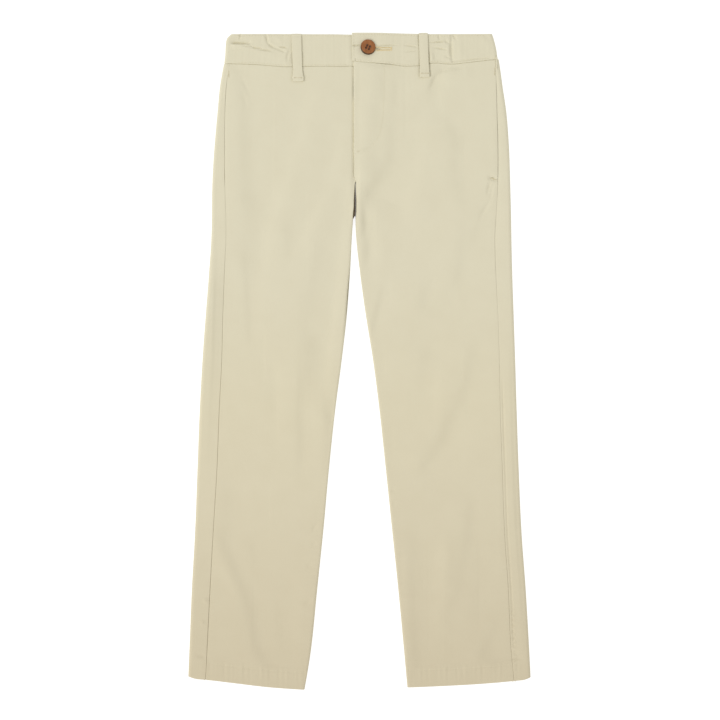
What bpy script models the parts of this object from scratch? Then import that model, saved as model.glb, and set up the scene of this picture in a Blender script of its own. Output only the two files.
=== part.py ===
"""Child's chino trousers, laid flat on their back with the front side up.

Every panel is a cloth wall with its true outline: a front and a back panel for each leg,
a waistband in two halves from the fly round the sides to the centre back, a facing behind
each pocket mouth, two belt loops, and a four-hole button on its thread shank. The back
panels fold round the outer edges, so that the side seams and the pocket mouths lie on the
front.

Metres, +Z up, +Y towards the waist, +X towards the wearer's left. The origin lies on the
surface, under the middle of the garment. Sizes are in millimetres: "out" is the distance
from the centre front towards a leg's outer edge, and "down" the distance below the waist.
"""

import math
from collections import namedtuple

import bmesh
import bpy
import numpy as np

MM = 0.001

# Cloth and seams
CLOTH = 1.4  # a panel's wall
BAND = 2.2  # the waistband's wall, folded double
FACING = 1.0  # the wall behind a pocket mouth
LOOP = 1.5  # a belt loop's wall
SEAM_GAP = 0.3  # between pieces that are sewn together
WAIST_GAP = 0.45  # between the waistband and the panels under it
SEAM_DIP = 0.5  # how far the cloth sinks at a seam

# Heights above the surface
FOLD_HEIGHT = 5.6  # the whole garment, at its folded edges
PANEL_TOP = 5.2  # the front panels' upper face
BAND_TOP = 5.5  # the front waistband's upper face
SLIT_FLOOR = CLOTH + SEAM_GAP + 0.2  # where the front edges end above the back's crotch

# Edges
INSEAM_ROLL = 2.4  # width of the rounded edge along the inseam
SIDE_ROLL = 3.6  # width of the rounded edge at the outer fold
EDGE_UPRIGHT = 0.4  # height of the upright end of a rounded edge
UNDERLAP = 8.0  # how far the right front reaches under the left one at the fly
TAB_UNDERLAP = 30.0  # how far the right waistband reaches under the left one
CENTRE_BACK = 2.0  # the centre back seam, from the centre front towards the left

# Places along the garment, down from the waist
WAIST = 36.0
FLY_END = 164.0
CROTCH = 214.0
HEM = 761.3
HEM_DEPTH = 20.0
HEM_STEP = 0.5
MOUTH_TOP, MOUTH_END = 50.0, 178.0
MOUTH_GAPE = 0.6  # how far each side of a pocket mouth stands back from the seam line

# Where the centre front's waist lies in the frame
CENTRE_X = -7.6
WAIST_Y = 382.75

SIGN = {"right": -1, "left": 1}

# A leg's outline at a few levels: its outer fold, its side seam and its inner edge.
Section = namedtuple("Section", "down outer seam inner")
SECTIONS = {
    "right": [
        Section(30, 150.4, 147.4, 0.3),
        Section(60, 155.7, 147.8, 0.3),
        Section(90, 158.9, 149.5, 0.3),
        Section(130, 162.3, 150.2, 0.3),
        Section(180, 164.9, 150.7, 0.3),
        Section(217, 165.4, 149.5, 0.5),
        Section(230, 165.7, 149.4, 1.2),
        Section(280, 168.7, 150.8, 3.9),
        Section(330, 172.6, 152.7, 7.9),
        Section(380, 176.1, 154.2, 13.6),
        Section(440, 179.7, 157.3, 21.5),
        Section(510, 182.3, 160.2, 28.7),
        Section(580, 184.9, 164.5, 35.2),
        Section(650, 189.0, 168.6, 42.6),
        Section(720, 191.6, 171.8, 50.1),
        Section(768, 193.0, 173.6, 57.0),
    ],
    "left": [
        Section(30, 169.6, 166.4, 4.4),
        Section(60, 174.7, 167.6, 4.4),
        Section(90, 179.0, 168.8, 4.4),
        Section(130, 182.0, 169.8, 4.4),
        Section(180, 183.8, 168.9, 4.4),
        Section(217, 184.7, 168.2, 3.9),
        Section(230, 184.9, 168.0, 3.6),
        Section(280, 186.0, 168.3, 8.3),
        Section(330, 187.7, 170.0, 15.4),
        Section(380, 189.4, 171.3, 23.3),
        Section(440, 191.2, 173.0, 31.2),
        Section(510, 193.6, 175.8, 38.3),
        Section(580, 196.7, 178.6, 45.7),
        Section(650, 201.7, 182.9, 52.9),
        Section(720, 205.8, 186.6, 59.7),
        Section(768, 207.2, 188.7, 63.7),
    ],
}

# Lines that run across the garment: how far down they lie at some distances out.
Level = namedtuple("Level", "out down")
BAND_SEAM = {
    "right": [
        Level(-30, 29.8),
        Level(-24, 30.0),
        Level(-9, 36.0),
        Level(2, 36.4),
        Level(50, 36.5),
        Level(74, 37.2),
        Level(115, 34.5),
        Level(150, 33.4),
    ],
    "left": [
        Level(-2, 30.4),
        Level(30, 33.0),
        Level(43, 34.1),
        Level(57, 36.2),
        Level(75, 35.9),
        Level(94, 32.8),
        Level(115, 34.0),
        Level(137, 31.8),
        Level(170, 28.1),
    ],
}
BAND_EDGE = {
    "right": [Level(-30, -1.0), Level(150, -1.0)],
    "left": [Level(-2, -2.4), Level(25, -2.2), Level(48, -1.6), Level(75, -1.1), Level(170, -1.0)],
}
BAND_SEAM_BACK = {
    "right": [Level(-3, 35.0), Level(60, 35.0), Level(150, 33.2)],
    "left": [Level(-3, 35.0), Level(60, 34.0), Level(172, 28.0)],
}
BACK_EDGE = 0.2  # the back waistband's top edge
HEM_LINE = {
    "right": [
        Level(57, 767.6),
        Level(100, 764.4),
        Level(142, 759.6),
        Level(173, 755.9),
        Level(186, 754.4),
        Level(193, 751.5),
    ],
    "left": [
        Level(62, 765.0),
        Level(111, 762.7),
        Level(153, 760.0),
        Level(188, 756.8),
        Level(202, 755.2),
        Level(207, 753.0),
    ],
}
# The waistband's side edge, from its top edge down to the seam.
BAND_SIDE = {
    "right": [
        Level(143.0, -1),
        Level(146.5, 2),
        Level(148.3, 6),
        Level(149.2, 13),
        Level(149.6, 22),
        Level(150.8, 34),
    ],
    "left": [Level(162.6, -1), Level(163.6, 2), Level(165.5, 9), Level(167.3, 17), Level(169.5, 29)],
}

# Folds and creases of the upper side, each a soft trough or ridge along a bowed line.
Fold = namedtuple("Fold", "out down to_out to_down bow spread rise")
PANEL_FOLDS = {
    "right": [
        Fold(128, 50, 128, 185, 0, 8, -0.7),
        Fold(142, 90, 141, 185, 0, 5, 0.4),
        Fold(80, 150, 104, 262, 5, 10, 0.9),
        Fold(57, 165, 80, 262, 4, 9, -0.8),
        Fold(32, 168, 62, 240, 4, 8, 0.8),
        Fold(144, 262, 119, 336, 0, 8, -0.7),
        Fold(14, 235, 24, 362, 0, 7, 0.6),
        Fold(46, 350, 66, 500, 3, 10, -1.0),
        Fold(92, 330, 98, 495, 0, 14, 0.6),
        Fold(154, 600, 110, 728, -4, 9, -1.1),
        Fold(128, 590, 86, 710, -4, 11, 0.6),
        Fold(74, 560, 78, 700, 0, 12, -0.5),
    ],
    "left": [
        Fold(115, 96, 133, 208, 4, 10, -0.9),
        Fold(92, 100, 80, 235, 0, 13, 0.6),
        Fold(91, 57, 130, 40, 0, 5, -0.6),
        Fold(8, 196, 13, 262, 0, 6, -0.8),
        Fold(165, 192, 132, 246, 0, 7, -0.8),
        Fold(28, 290, 60, 250, 0, 7, -0.6),
        Fold(48, 322, 92, 292, 2, 8, -0.8),
        Fold(42, 400, 92, 372, 2, 8, -0.7),
        Fold(138, 384, 78, 512, -4, 9, -1.1),
        Fold(112, 360, 60, 470, -4, 11, 0.6),
        Fold(144, 524, 115, 676, 0, 10, -0.9),
        Fold(168, 500, 146, 640, 0, 9, 0.5),
        Fold(69, 600, 71, 735, 0, 7, -0.6),
        Fold(96, 580, 92, 730, 0, 10, 0.6),
    ],
}
BAND_FOLDS = {
    "right": [
        Fold(150, 10, 120, 12.5, 0, 2.6, -1.1),
        Fold(134, -1, 131, 8, 0, 2.6, -0.7),
        Fold(111, -1, 109, 10, 0, 2.6, -0.6),
        Fold(116, 14, 94, 19, 0, 2.6, -0.6),
        Fold(103, -1, 79, 20, 4, 2.8, -0.9),
        Fold(74, 12, 77, 30, 0, 2.8, -0.6),
        Fold(126, 4, 116, 5, 0, 3.0, 0.5),
        Fold(92, 2, 84, 8, 0, 3.0, 0.5),
    ],
    "left": [
        Fold(114, -1, 117, 36, 2, 2.6, -1.1),
        Fold(92, 10, 112, 7, 0, 2.6, -0.6),
        Fold(98, 22, 100, 36, 0, 2.6, -0.6),
        Fold(152, 6, 167, 8, 0, 2.6, -0.7),
        Fold(106, 14, 105, 30, 0, 3.0, 0.5),
        Fold(124, 4, 126, 30, 0, 4.0, 0.4),
        Fold(40, 13, 68, 12, 0, 2.6, -0.5),
    ],
}

# Belt loops: how far out their middle lies at the top and at the foot, how far down the foot
# ends, their width, and how far the top end stands over the waistband's edge.
BeltLoop = namedtuple("BeltLoop", "out foot_out foot_down width proud")
BELT_LOOPS = {
    "right": BeltLoop(66.9, 64.7, 55.4, 12.8, 0.0),
    "left": BeltLoop(82.4, 84.1, 49.3, 11.8, 1.2),
}
LOOP_RISE = 1.5  # how far a loop's middle stands off the waistband
LOOP_FOOT = 6.0  # length of the end that is folded under

# The button, four holes round its middle, and its buttonhole in the tab
BUTTON_OUT, BUTTON_DOWN = 17.4, 14.1
BUTTON_RADIUS = 8.8
BUTTON_LIFT = 0.9  # clear height between the tab and the button
HOLE_RADIUS, HOLE_SPACING = 0.95, 3.4
THREAD_RADIUS = 0.6
SHANK_RADIUS = 1.1
BUTTONHOLE_WIDTH, BUTTONHOLE_EYE = 1.2, 1.6
BUTTONHOLE_END = 44.0  # how far out the buttonhole's end lies

CLOTH_COLOUR = (0.70, 0.64, 0.47, 1.0)
BAND_COLOUR = (0.72, 0.66, 0.49, 1.0)
BUTTON_COLOUR = (0.42, 0.13, 0.05, 1.0)
THREAD_COLOUR = (0.05, 0.02, 0.015, 1.0)


def smoothstep(at, start, end):
    t = np.clip((at - start) / (end - start), 0, 1)
    return t * t * (3 - 2 * t)


def on_curve(at, stations, values):
    """The value at a place on the smooth curve through a table's column."""
    stations, values = np.array(stations, float), np.array(values, float)
    slopes = np.gradient(values, stations)
    i = np.clip(np.searchsorted(stations, at) - 1, 0, len(stations) - 2)
    step = stations[i + 1] - stations[i]
    t = np.clip((at - stations[i]) / step, 0, 1)
    rest = 1 - t
    return (
        values[i] * (1 + 2 * t) * rest * rest
        + values[i + 1] * (3 - 2 * t) * t * t
        + slopes[i] * step * t * rest * rest
        - slopes[i + 1] * step * t * t * rest
    )


def outline(side, column, down):
    rows = SECTIONS[side]
    return on_curve(down, [r.down for r in rows], [getattr(r, column) for r in rows])


def level(table, out):
    return on_curve(out, [r.out for r in table], [r.down for r in table])


def fold_height(folds, out, down):
    """The sum of the soft troughs and ridges at a point."""
    height = 0.0
    for f in folds:
        along = np.array((f.to_out - f.out, f.to_down - f.down), float)
        length = np.hypot(*along)
        along /= length
        across = np.array((-along[1], along[0]))
        from_start = np.array((out - f.out, down - f.down))
        t = from_start @ along / length
        past_end = max(-t, t - 1, 0) * length
        bowed = f.bow * 4 * np.clip(t, 0, 1) * (1 - np.clip(t, 0, 1))
        aside = np.hypot(from_start @ across - bowed, past_end)
        taper = 0.35 + 0.65 * math.sin(math.pi * np.clip(t, 0, 1))
        height += f.rise * taper * math.exp(-((aside / f.spread) ** 2))
    return height


def to_frame(side, out, down, height):
    """A point of the garment, in the frame and in metres."""
    return (
        (CENTRE_X + SIGN[side] * out) * MM,
        (WAIST_Y - down) * MM,
        height * MM,
    )


# The upper side's heights


def fly_lift(side, out, down):
    """The left front rides over the right front's underlap."""
    if side == "right":
        return -0.6 * smoothstep(-out, -12, 0)
    reach = 20 - 9 * smoothstep(down, WAIST + 14, WAIST + 60)
    over = 1 - smoothstep(out, reach, reach + 20)
    return 1.3 * over * (1 - smoothstep(down, FLY_END - 6, FLY_END + 12))


def panel_top(side, out, down):
    """The height of a leg's upper face, from its inner edge to its outer fold."""
    seam = outline(side, "seam", down)
    hem_step = HEM_STEP * smoothstep(down, HEM - HEM_DEPTH - 8, HEM - HEM_DEPTH - 2)
    dip = SEAM_DIP * math.exp(-(((out - seam) / 3.0) ** 2))
    folds = fold_height(PANEL_FOLDS[side], out, down) * smoothstep(seam - out, -2, 8)
    folds *= smoothstep(out - outline(side, "inner", down), 0, 9) * smoothstep(down, WAIST + 12, WAIST + 28)
    return PANEL_TOP + folds + hem_step - dip + fly_lift(side, out, down)


def mouth(down):
    """1 along a pocket mouth, 0 above and below it."""
    opens = smoothstep(down, MOUTH_TOP, MOUTH_TOP + 12)
    return opens * (1 - smoothstep(down, MOUTH_END - 10, MOUTH_END))


def rolled(step, steps, height, foot):
    """(how far in, how high) a rounded edge lies at a step down its quarter turn.

    The last step goes straight down or up, so that the wall's rim is square to the surface.
    """
    if step >= steps:
        return 0.0, foot
    turn = max(0, step) / (steps - 1) * math.pi / 2
    upright = foot + math.copysign(EDGE_UPRIGHT, height - foot)
    return 1 - math.sin(turn), upright + (height - upright) * math.cos(turn)


# Panels


def level_rows(top, rows):
    """Rows from the waist seam to the hem, closer together round the fly and the crotch."""
    stretches = [
        np.linspace(top, FLY_END, round(rows * 0.27)),
        [FLY_END + 5, FLY_END + 10],
        np.linspace(FLY_END + 20, CROTCH + 20, round(rows * 0.14)),
        np.linspace(CROTCH + 36, HEM - HEM_DEPTH - 8, round(rows * 0.47)),
        np.linspace(HEM - HEM_DEPTH, HEM, 3),
    ]
    return np.concatenate(stretches)


def waist_seam(side, out, behind=0.0):
    """How far down the waistband's seam lies in front, or behind as far as that is 1."""
    front = level(BAND_SEAM[side], out)
    return front + behind * (level(BAND_SEAM_BACK[side], out) - front)


def slanted(side, out, down, behind=0.0):
    """The level after the waist seam's and the hem's slant are worked in."""
    seam = waist_seam(side, out, behind) + WAIST_GAP
    at_waist = (seam - WAIST) * (1 - smoothstep(down, WAIST, WAIST + 30))
    at_hem = (level(HEM_LINE[side], out) - HEM) * smoothstep(down, HEM - 160, HEM)
    return down + at_waist + at_hem


def cloth_object(name, columns, rows, point, wall, material, outside_up=True):
    """A wall of cloth: a grid laid out by point(column, row), thickened inwards."""
    mesh = bpy.data.meshes.new(name)
    grid = bmesh.new()
    bmesh.ops.create_grid(grid, x_segments=columns, y_segments=rows, size=0.5)
    for vertex in grid.verts:
        column = round((vertex.co.x + 0.5) * columns)
        row = round((vertex.co.y + 0.5) * rows)
        vertex.co = point(column, row)
    grid.normal_update()
    faces_up = sum(face.normal.z * face.calc_area() for face in grid.faces) > 0
    if faces_up != outside_up:
        bmesh.ops.reverse_faces(grid, faces=grid.faces)
    grid.to_mesh(mesh)
    grid.free()
    piece = bpy.data.objects.new(name, mesh)
    GARMENT.objects.link(piece)
    thicken = piece.modifiers.new("wall", "SOLIDIFY")
    thicken.thickness = wall * MM
    thicken.offset = -1
    mesh.materials.append(material)
    mesh.shade_smooth()
    return piece


def front_panel(side, material):
    """From the side seam over the leg to the inner edge, which rolls down to the inseam."""
    flat_columns, roll_columns = 15, 5
    rows = level_rows(WAIST, 38)
    reach = UNDERLAP + 0.3 if side == "right" else outline("left", "inner", WAIST)
    parts_from = (FLY_END - 30, FLY_END - 8) if side == "right" else (FLY_END, FLY_END + 10)

    def point(column, row):
        down = rows[row]
        seam = outline(side, "seam", down) - SEAM_GAP / 2 - MOUTH_GAPE * mouth(down)
        inner = outline(side, "inner", down) - reach * (1 - smoothstep(down, *parts_from))
        step = column - flat_columns
        flat_end = inner + INSEAM_ROLL
        if step <= 0:
            out = seam + (flat_end - seam) * column / flat_columns
        else:
            out = flat_end - INSEAM_ROLL * step / roll_columns
        top = panel_top(side, out, down)
        top += 0.5 * mouth(down) * math.exp(-(((seam - out) / 6) ** 2))
        foot_at = FOLD_HEIGHT / 2 + SEAM_GAP / 2
        foot = SLIT_FLOOR + (foot_at - SLIT_FLOOR) * smoothstep(down, CROTCH - 8, CROTCH + 14)
        inward, height = rolled(step, roll_columns, top, foot)
        turned = smoothstep(down, FLY_END - 4, FLY_END + 16)
        if step > 0:
            out += turned * (inner + INSEAM_ROLL * inward - out)
        top += turned * (height - top)
        return to_frame(side, out, slanted(side, out, down), top)

    return cloth_object(
        f"front_{side}", flat_columns + roll_columns, len(rows) - 1, point, CLOTH, material
    )


def back_panel(side, material):
    """From the inseam along the surface, round the outer fold and up to the side seam."""
    curl_columns, flat_columns, fold_columns, strip_columns = 5, 4, 6, 2
    columns = curl_columns + flat_columns + fold_columns + strip_columns
    rows = level_rows(WAIST, 30)
    half = FOLD_HEIGHT / 2
    centre_back = SIGN[side] * CENTRE_BACK + SEAM_GAP / 2

    def point(column, row):
        down = rows[row]
        parted = smoothstep(down, CROTCH - 2, CROTCH + 12)
        leg_inner = outline(side, "inner", down)
        inner = centre_back + parted * (leg_inner - centre_back)
        outer, seam = outline(side, "outer", down), outline(side, "seam", down)
        seam += SEAM_GAP / 2 + MOUTH_GAPE * mouth(down)
        roll = min(SIDE_ROLL, 0.8 * (outer - seam))
        flat_start, flat_end = inner + INSEAM_ROLL, outer - roll
        if column < curl_columns:
            clear = 0.3 * (1 - smoothstep(down, CROTCH + 16, CROTCH + 60))
            edge_height = half - SEAM_GAP / 2 - clear
            inward, height = rolled(curl_columns - column, curl_columns, 0, edge_height)
            straight = column / curl_columns
            out = inner + INSEAM_ROLL * (straight + parted * (inward - straight))
            height *= parted
        elif column <= curl_columns + flat_columns:
            share = (column - curl_columns) / flat_columns
            out, height = flat_start + (flat_end - flat_start) * share, 0.0
        elif column <= curl_columns + flat_columns + fold_columns:
            share = (column - curl_columns - flat_columns) / fold_columns
            turn = math.pi * (share - 0.5)
            out = flat_end + roll * math.cos(turn)
            height = half + half * math.sin(turn)
        else:
            share = (column - columns + strip_columns) / strip_columns
            out = flat_end + (seam - flat_end) * share
            top = panel_top(side, out, down)
            height = FOLD_HEIGHT + (top - FOLD_HEIGHT) * smoothstep(share, 0, 1)
        on_surface = column <= curl_columns + flat_columns
        behind = smoothstep(flat_end - out, 0, 25) if on_surface else 0.0
        return to_frame(side, out, slanted(side, out, down, behind), height)

    return cloth_object(
        f"back_{side}", columns, len(rows) - 1, point, CLOTH, material, outside_up=False
    )


def pocket_facing(side, material):
    """The cloth that shows behind a pocket mouth, close under both of its sides."""
    columns, rows = 4, 12
    under_strip, under_front = 5.0, 16.0

    def point(column, row):
        down = MOUTH_TOP + (MOUTH_END - MOUTH_TOP) * row / rows
        seam, outer = outline(side, "seam", down), outline(side, "outer", down)
        start = seam + min(under_strip, 0.35 * (outer - seam))
        out = start + (seam - under_front - start) * column / columns
        return to_frame(side, out, down, panel_top(side, out, down) - CLOTH - SEAM_GAP - 0.2)

    return cloth_object(f"pocket_facing_{side}", columns, rows, point, FACING, material)


# Waistband


def band_top(side, out, down):
    """The height of the front waistband's upper face."""
    folds = fold_height(BAND_FOLDS[side], out, down)
    folds *= smoothstep(waist_seam(side, out) - down, 5.5, 12)
    if side == "right":
        return BAND_TOP + folds - 0.8 * smoothstep(-out, -8, 0)
    return BAND_TOP + folds + 1.8 * (1 - smoothstep(out, 33, 56))


def band(side, material):
    """A waistband half, from its end at the fly round the side to the centre back seam."""
    front_columns, fold_columns, back_columns, rows = 34, 6, 5, 6
    columns = front_columns + fold_columns + back_columns
    start = -TAB_UNDERLAP if side == "right" else 0.6
    centre_back = SIGN[side] * CENTRE_BACK + SEAM_GAP / 2
    half = FOLD_HEIGHT / 2
    side_table = BAND_SIDE[side]

    def point(column, row):
        edge_down = side_table[0].down + (side_table[-1].down - side_table[0].down) * row / rows
        edge = on_curve(edge_down, [r.down for r in side_table], [r.out for r in side_table])
        flat_end = edge - SIDE_ROLL
        round_to = (column - front_columns) / fold_columns
        if round_to <= 0:
            out = start + (flat_end - start) * column / front_columns
        elif round_to < 1:
            out = flat_end + SIDE_ROLL * math.sin(math.pi * round_to)
        else:
            out = flat_end + (centre_back - flat_end) * (column - columns + back_columns) / back_columns
        behind = smoothstep(flat_end - out, 0, 25) if round_to >= 1 else 0.0
        upper, lower = level(BAND_EDGE[side], out), waist_seam(side, out, behind)
        upper += behind * (BACK_EDGE - upper)
        down = upper + (lower - upper) * row / rows
        if round_to <= 0:
            top = band_top(side, out, down)
            height = top + (FOLD_HEIGHT - top) * smoothstep(out, flat_end - 8, flat_end)
        else:
            height = half + half * math.cos(math.pi * min(1, round_to))
        return to_frame(side, out, down, height)

    return cloth_object(f"waistband_{side}", columns, rows, point, BAND, material)


def surface_top(side, out, down):
    """The upper face of the waistband, or of the panel below its seam."""
    below_seam = down - waist_seam(side, out)
    if below_seam < WAIST_GAP:
        return band_top(side, out, down)
    return panel_top(side, out, WAIST + below_seam)


def belt_loop(side, material):
    """A strap over the waistband, arched between its top end and a foot folded under."""
    loop = BELT_LOOPS[side]
    columns, arch_rows = 4, 9
    start = level(BAND_EDGE[side], loop.out) - loop.proud
    foot = loop.foot_down - LOOP_FOOT
    folded = LOOP + 1.1
    # Stations of the strap's upper face: how far down, how high over what lies under it.
    stations = [(start, LOOP + 0.4)]
    for row in range(1, arch_rows + 1):
        t = row / arch_rows
        rise = LOOP_RISE * arched(t) + (folded - LOOP - 0.5) * t
        stations.append((start + (foot - start) * t, LOOP + 0.5 + rise))
    stations += [(foot + 3, folded), (loop.foot_down - 1, folded - 0.1), (loop.foot_down, LOOP + 0.4)]

    def point(column, row):
        down, height = stations[row]
        t = row / (len(stations) - 1)
        across = column / columns - 0.5
        middle = loop.out + (loop.foot_out - loop.out) * t
        crown = 0.35 * (1 - (2 * across) ** 2)
        ground = max(
            surface_top(side, middle + share * loop.width, max(down, start + 1)) for share in (-0.5, 0, 0.5)
        )
        return to_frame(side, middle + across * loop.width, down, ground + height + crown)

    return cloth_object(f"belt_loop_{side}", columns, len(stations) - 1, point, LOOP, material)


def arched(t):
    """The rise of a strap that is held down at both ends."""
    return math.sin(math.pi * t) ** 0.7 if 0 < t < 1 else 0.0


# Button


def cylinder(name, radius, low, high, x, y, sides):
    """An upright cylinder, its sizes and its place in millimetres."""
    mesh = bpy.data.meshes.new(name)
    shape = bmesh.new()
    bmesh.ops.create_cone(
        shape,
        cap_ends=True,
        segments=sides,
        radius1=radius * MM,
        radius2=radius * MM,
        depth=(high - low) * MM,
    )
    shape.to_mesh(mesh)
    shape.free()
    piece = bpy.data.objects.new(name, mesh)
    piece.location = (x * MM, y * MM, (low + high) / 2 * MM)
    return piece


def as_helper(piece):
    """Keeps an object out of the garment: a cutter or a shape that another one takes in."""
    HELPERS.objects.link(piece)
    piece.hide_render = True
    piece.display_type = "WIRE"
    return piece


def combine(piece, other, operation):
    boolean = piece.modifiers.new(other.name, "BOOLEAN")
    boolean.operation = operation
    boolean.object = other


def button_centre():
    x, y, _ = to_frame("left", BUTTON_OUT, BUTTON_DOWN, 0)
    return x / MM, y / MM, band_top("left", BUTTON_OUT, BUTTON_DOWN) + BUTTON_LIFT


def hole_places():
    x, y, _ = button_centre()
    half = HOLE_SPACING / 2
    return [(x + a * half, y + b * half) for a in (-1, 1) for b in (-1, 1)]


def button(material):
    """A turned disc with a raised rim and four holes through its dished middle."""
    x, y, seat = button_centre()
    thick, rim = 3.2, 0.9
    profile = [
        (0, thick - rim),
        (BUTTON_RADIUS * 0.56, thick - rim),
        (BUTTON_RADIUS * 0.68, thick - 0.25),
        (BUTTON_RADIUS * 0.82, thick),
        (BUTTON_RADIUS * 0.94, thick - 0.35),
        (BUTTON_RADIUS, thick * 0.6),
        (BUTTON_RADIUS * 0.95, thick * 0.25),
        (BUTTON_RADIUS * 0.78, 0),
        (0, 0),
    ]
    mesh = bpy.data.meshes.new("button")
    points = [(radius * MM, 0, height * MM) for radius, height in profile]
    mesh.from_pydata(points, [(i, i + 1) for i in range(len(points) - 1)], [])
    mesh.materials.append(material)
    piece = bpy.data.objects.new("button", mesh)
    GARMENT.objects.link(piece)
    piece.location = (x * MM, y * MM, seat * MM)
    turn = piece.modifiers.new("turned", "SCREW")
    turn.steps = turn.render_steps = 32
    turn.use_merge_vertices = True
    turn.merge_threshold = 0.00005
    for number, (hole_x, hole_y) in enumerate(hole_places()):
        cutter = cylinder(f"hole_{number}", HOLE_RADIUS, seat - 1, seat + 5, hole_x, hole_y, 12)
        combine(piece, as_helper(cutter), "DIFFERENCE")
    return piece


def button_thread(material):
    """Crossed stitches over the button, down its holes to a shank in the buttonhole."""
    x, y, seat = button_centre()
    over = seat + 3.2 - 0.9 + SEAM_GAP + THREAD_RADIUS
    under_band = band_top("right", -BUTTON_OUT, BUTTON_DOWN) + SEAM_GAP
    knot_top, knot_low = seat - 0.3, seat - BUTTON_LIFT + 0.3
    piece = cylinder("button_thread", SHANK_RADIUS, under_band, knot_top - 0.1, x, y, 12)
    piece.data.materials.append(material)
    GARMENT.objects.link(piece)
    knot = cylinder("knot", HOLE_SPACING * 0.95, knot_low, knot_top, x, y, 16)
    combine(piece, as_helper(knot), "UNION")
    for number, (leg_x, leg_y) in enumerate(hole_places()):
        leg = cylinder(f"leg_{number}", THREAD_RADIUS, knot_low + 0.1, over, leg_x, leg_y, 10)
        combine(piece, as_helper(leg), "UNION")
    for number, turn in enumerate((math.pi / 4, -math.pi / 4)):
        half = HOLE_SPACING / math.sqrt(2) + THREAD_RADIUS * 0.8
        stitch = cylinder(f"stitch_{number}", THREAD_RADIUS * 0.98, -half, half, x, y, 10)
        stitch.location.z = (over + 0.12 * number) * MM
        stitch.rotation_euler = (math.pi / 2, 0, turn)
        combine(piece, as_helper(stitch), "UNION")
    return piece


def buttonhole_cutter():
    """A keyhole: a slit with a round eye at the button's shank."""
    x, y, seat = button_centre()
    eye = cylinder("buttonhole_eye", BUTTONHOLE_EYE, seat - 6, seat + 2, x, y, 16)
    mesh = bpy.data.meshes.new("buttonhole_slit")
    slit = bmesh.new()
    bmesh.ops.create_cube(slit, size=1)
    length = BUTTONHOLE_END - BUTTON_OUT
    bmesh.ops.scale(slit, vec=(length * MM, BUTTONHOLE_WIDTH * MM, 8 * MM), verts=slit.verts)
    slit.to_mesh(mesh)
    slit.free()
    cutter = bpy.data.objects.new("buttonhole_slit", mesh)
    cutter.location = ((x + length / 2) * MM, y * MM, (seat - 2) * MM)
    return as_helper(eye), as_helper(cutter)


def principled(name, colour, roughness):
    material = bpy.data.materials.new(name)
    material.use_nodes = True
    shader = material.node_tree.nodes["Principled BSDF"]
    shader.inputs["Base Color"].default_value = colour
    shader.inputs["Roughness"].default_value = roughness
    shader.inputs["Metallic"].default_value = 0.0
    return material


def clear_scene():
    for piece in list(bpy.data.objects):
        bpy.data.objects.remove(piece)


def new_collection(name):
    made = bpy.data.collections.new(name)
    bpy.context.scene.collection.children.link(made)
    return made


clear_scene()
GARMENT = new_collection("chino_trousers")
HELPERS = new_collection("cutters")


def build():
    twill = principled("cotton_twill", CLOTH_COLOUR, 0.9)
    band_twill = principled("waistband_twill", BAND_COLOUR, 0.9)
    horn = principled("button_horn", BUTTON_COLOUR, 0.35)
    thread = principled("button_thread", THREAD_COLOUR, 0.8)
    for side in ("right", "left"):
        front_panel(side, twill)
        back_panel(side, twill)
        pocket_facing(side, twill)
        belt_loop(side, band_twill)
    band("right", band_twill)
    tab = band("left", band_twill)
    for cutter in buttonhole_cutter():
        combine(tab, cutter, "DIFFERENCE")
    button(horn)
    button_thread(thread)


build()
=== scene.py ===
import math
from collections import namedtuple

import bpy
import numpy as np
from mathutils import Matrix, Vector


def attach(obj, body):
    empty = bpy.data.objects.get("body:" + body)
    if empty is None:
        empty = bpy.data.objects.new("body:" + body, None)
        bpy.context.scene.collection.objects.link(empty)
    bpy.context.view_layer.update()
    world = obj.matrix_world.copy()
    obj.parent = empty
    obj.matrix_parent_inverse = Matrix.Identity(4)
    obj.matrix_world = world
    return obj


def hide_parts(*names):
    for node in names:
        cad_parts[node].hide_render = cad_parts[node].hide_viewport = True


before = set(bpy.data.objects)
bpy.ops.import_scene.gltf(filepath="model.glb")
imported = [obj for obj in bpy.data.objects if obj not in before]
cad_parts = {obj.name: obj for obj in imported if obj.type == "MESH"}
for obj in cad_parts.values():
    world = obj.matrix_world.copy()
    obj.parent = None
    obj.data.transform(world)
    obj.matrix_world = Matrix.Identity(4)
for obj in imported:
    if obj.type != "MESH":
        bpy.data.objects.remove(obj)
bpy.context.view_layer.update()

# Child's chino trousers, laid flat with the front side up. Sizes are in millimetres, as in the
# CAD source: "out" is the distance from the centre front towards a leg's outer edge, and
# "down" the distance below the waist.
MM = 0.001
SIDES = ("right", "left")
SIGN = {"right": -1, "left": 1}

# The garment's own sizes, as in the CAD source
CENTRE_X = -7.6
WAIST_Y = 382.75
WAIST = 36
WAIST_GAP = 0.45
FLY_END = 164
CROTCH = 214
HEM = 761.3
HEM_STITCH = HEM - 20  # how far down the hem's stitching runs
HEM_STEP = 0.5
MOUTH_TOP, MOUTH_END = 50, 178
MOUTH_GAPE = {"right": 0.03, "left": 0.08}
FOLD_HEIGHT = 5.6
PANEL_TOP = 5.2
BAND_TOP = 5.5
BACK_EDGE = 0.2
INSEAM_ROLL = 2.4
SIDE_ROLL = 3.6
UNDERLAP = 8
TAB_UNDERLAP = 30
CENTRE_BACK = 2

# The slit below the fly
SLIT_FOOT = 3.3  # how low the front panels' edges reach beside it
SLIT_HOLLOW = 0.6  # how far it widens under its edges
SLIT_MIDDLE = 202  # how far below the waist its middle lies
# The twill paints shade into the slit's inside, centred on SLIT_MIDDLE; SLIT_SHADE gives that
# painted shade's half sizes.
SLIT_SHADE = (0.006, 0.028, 0.0053)  # half the size of its dark inside, in metres

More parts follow.
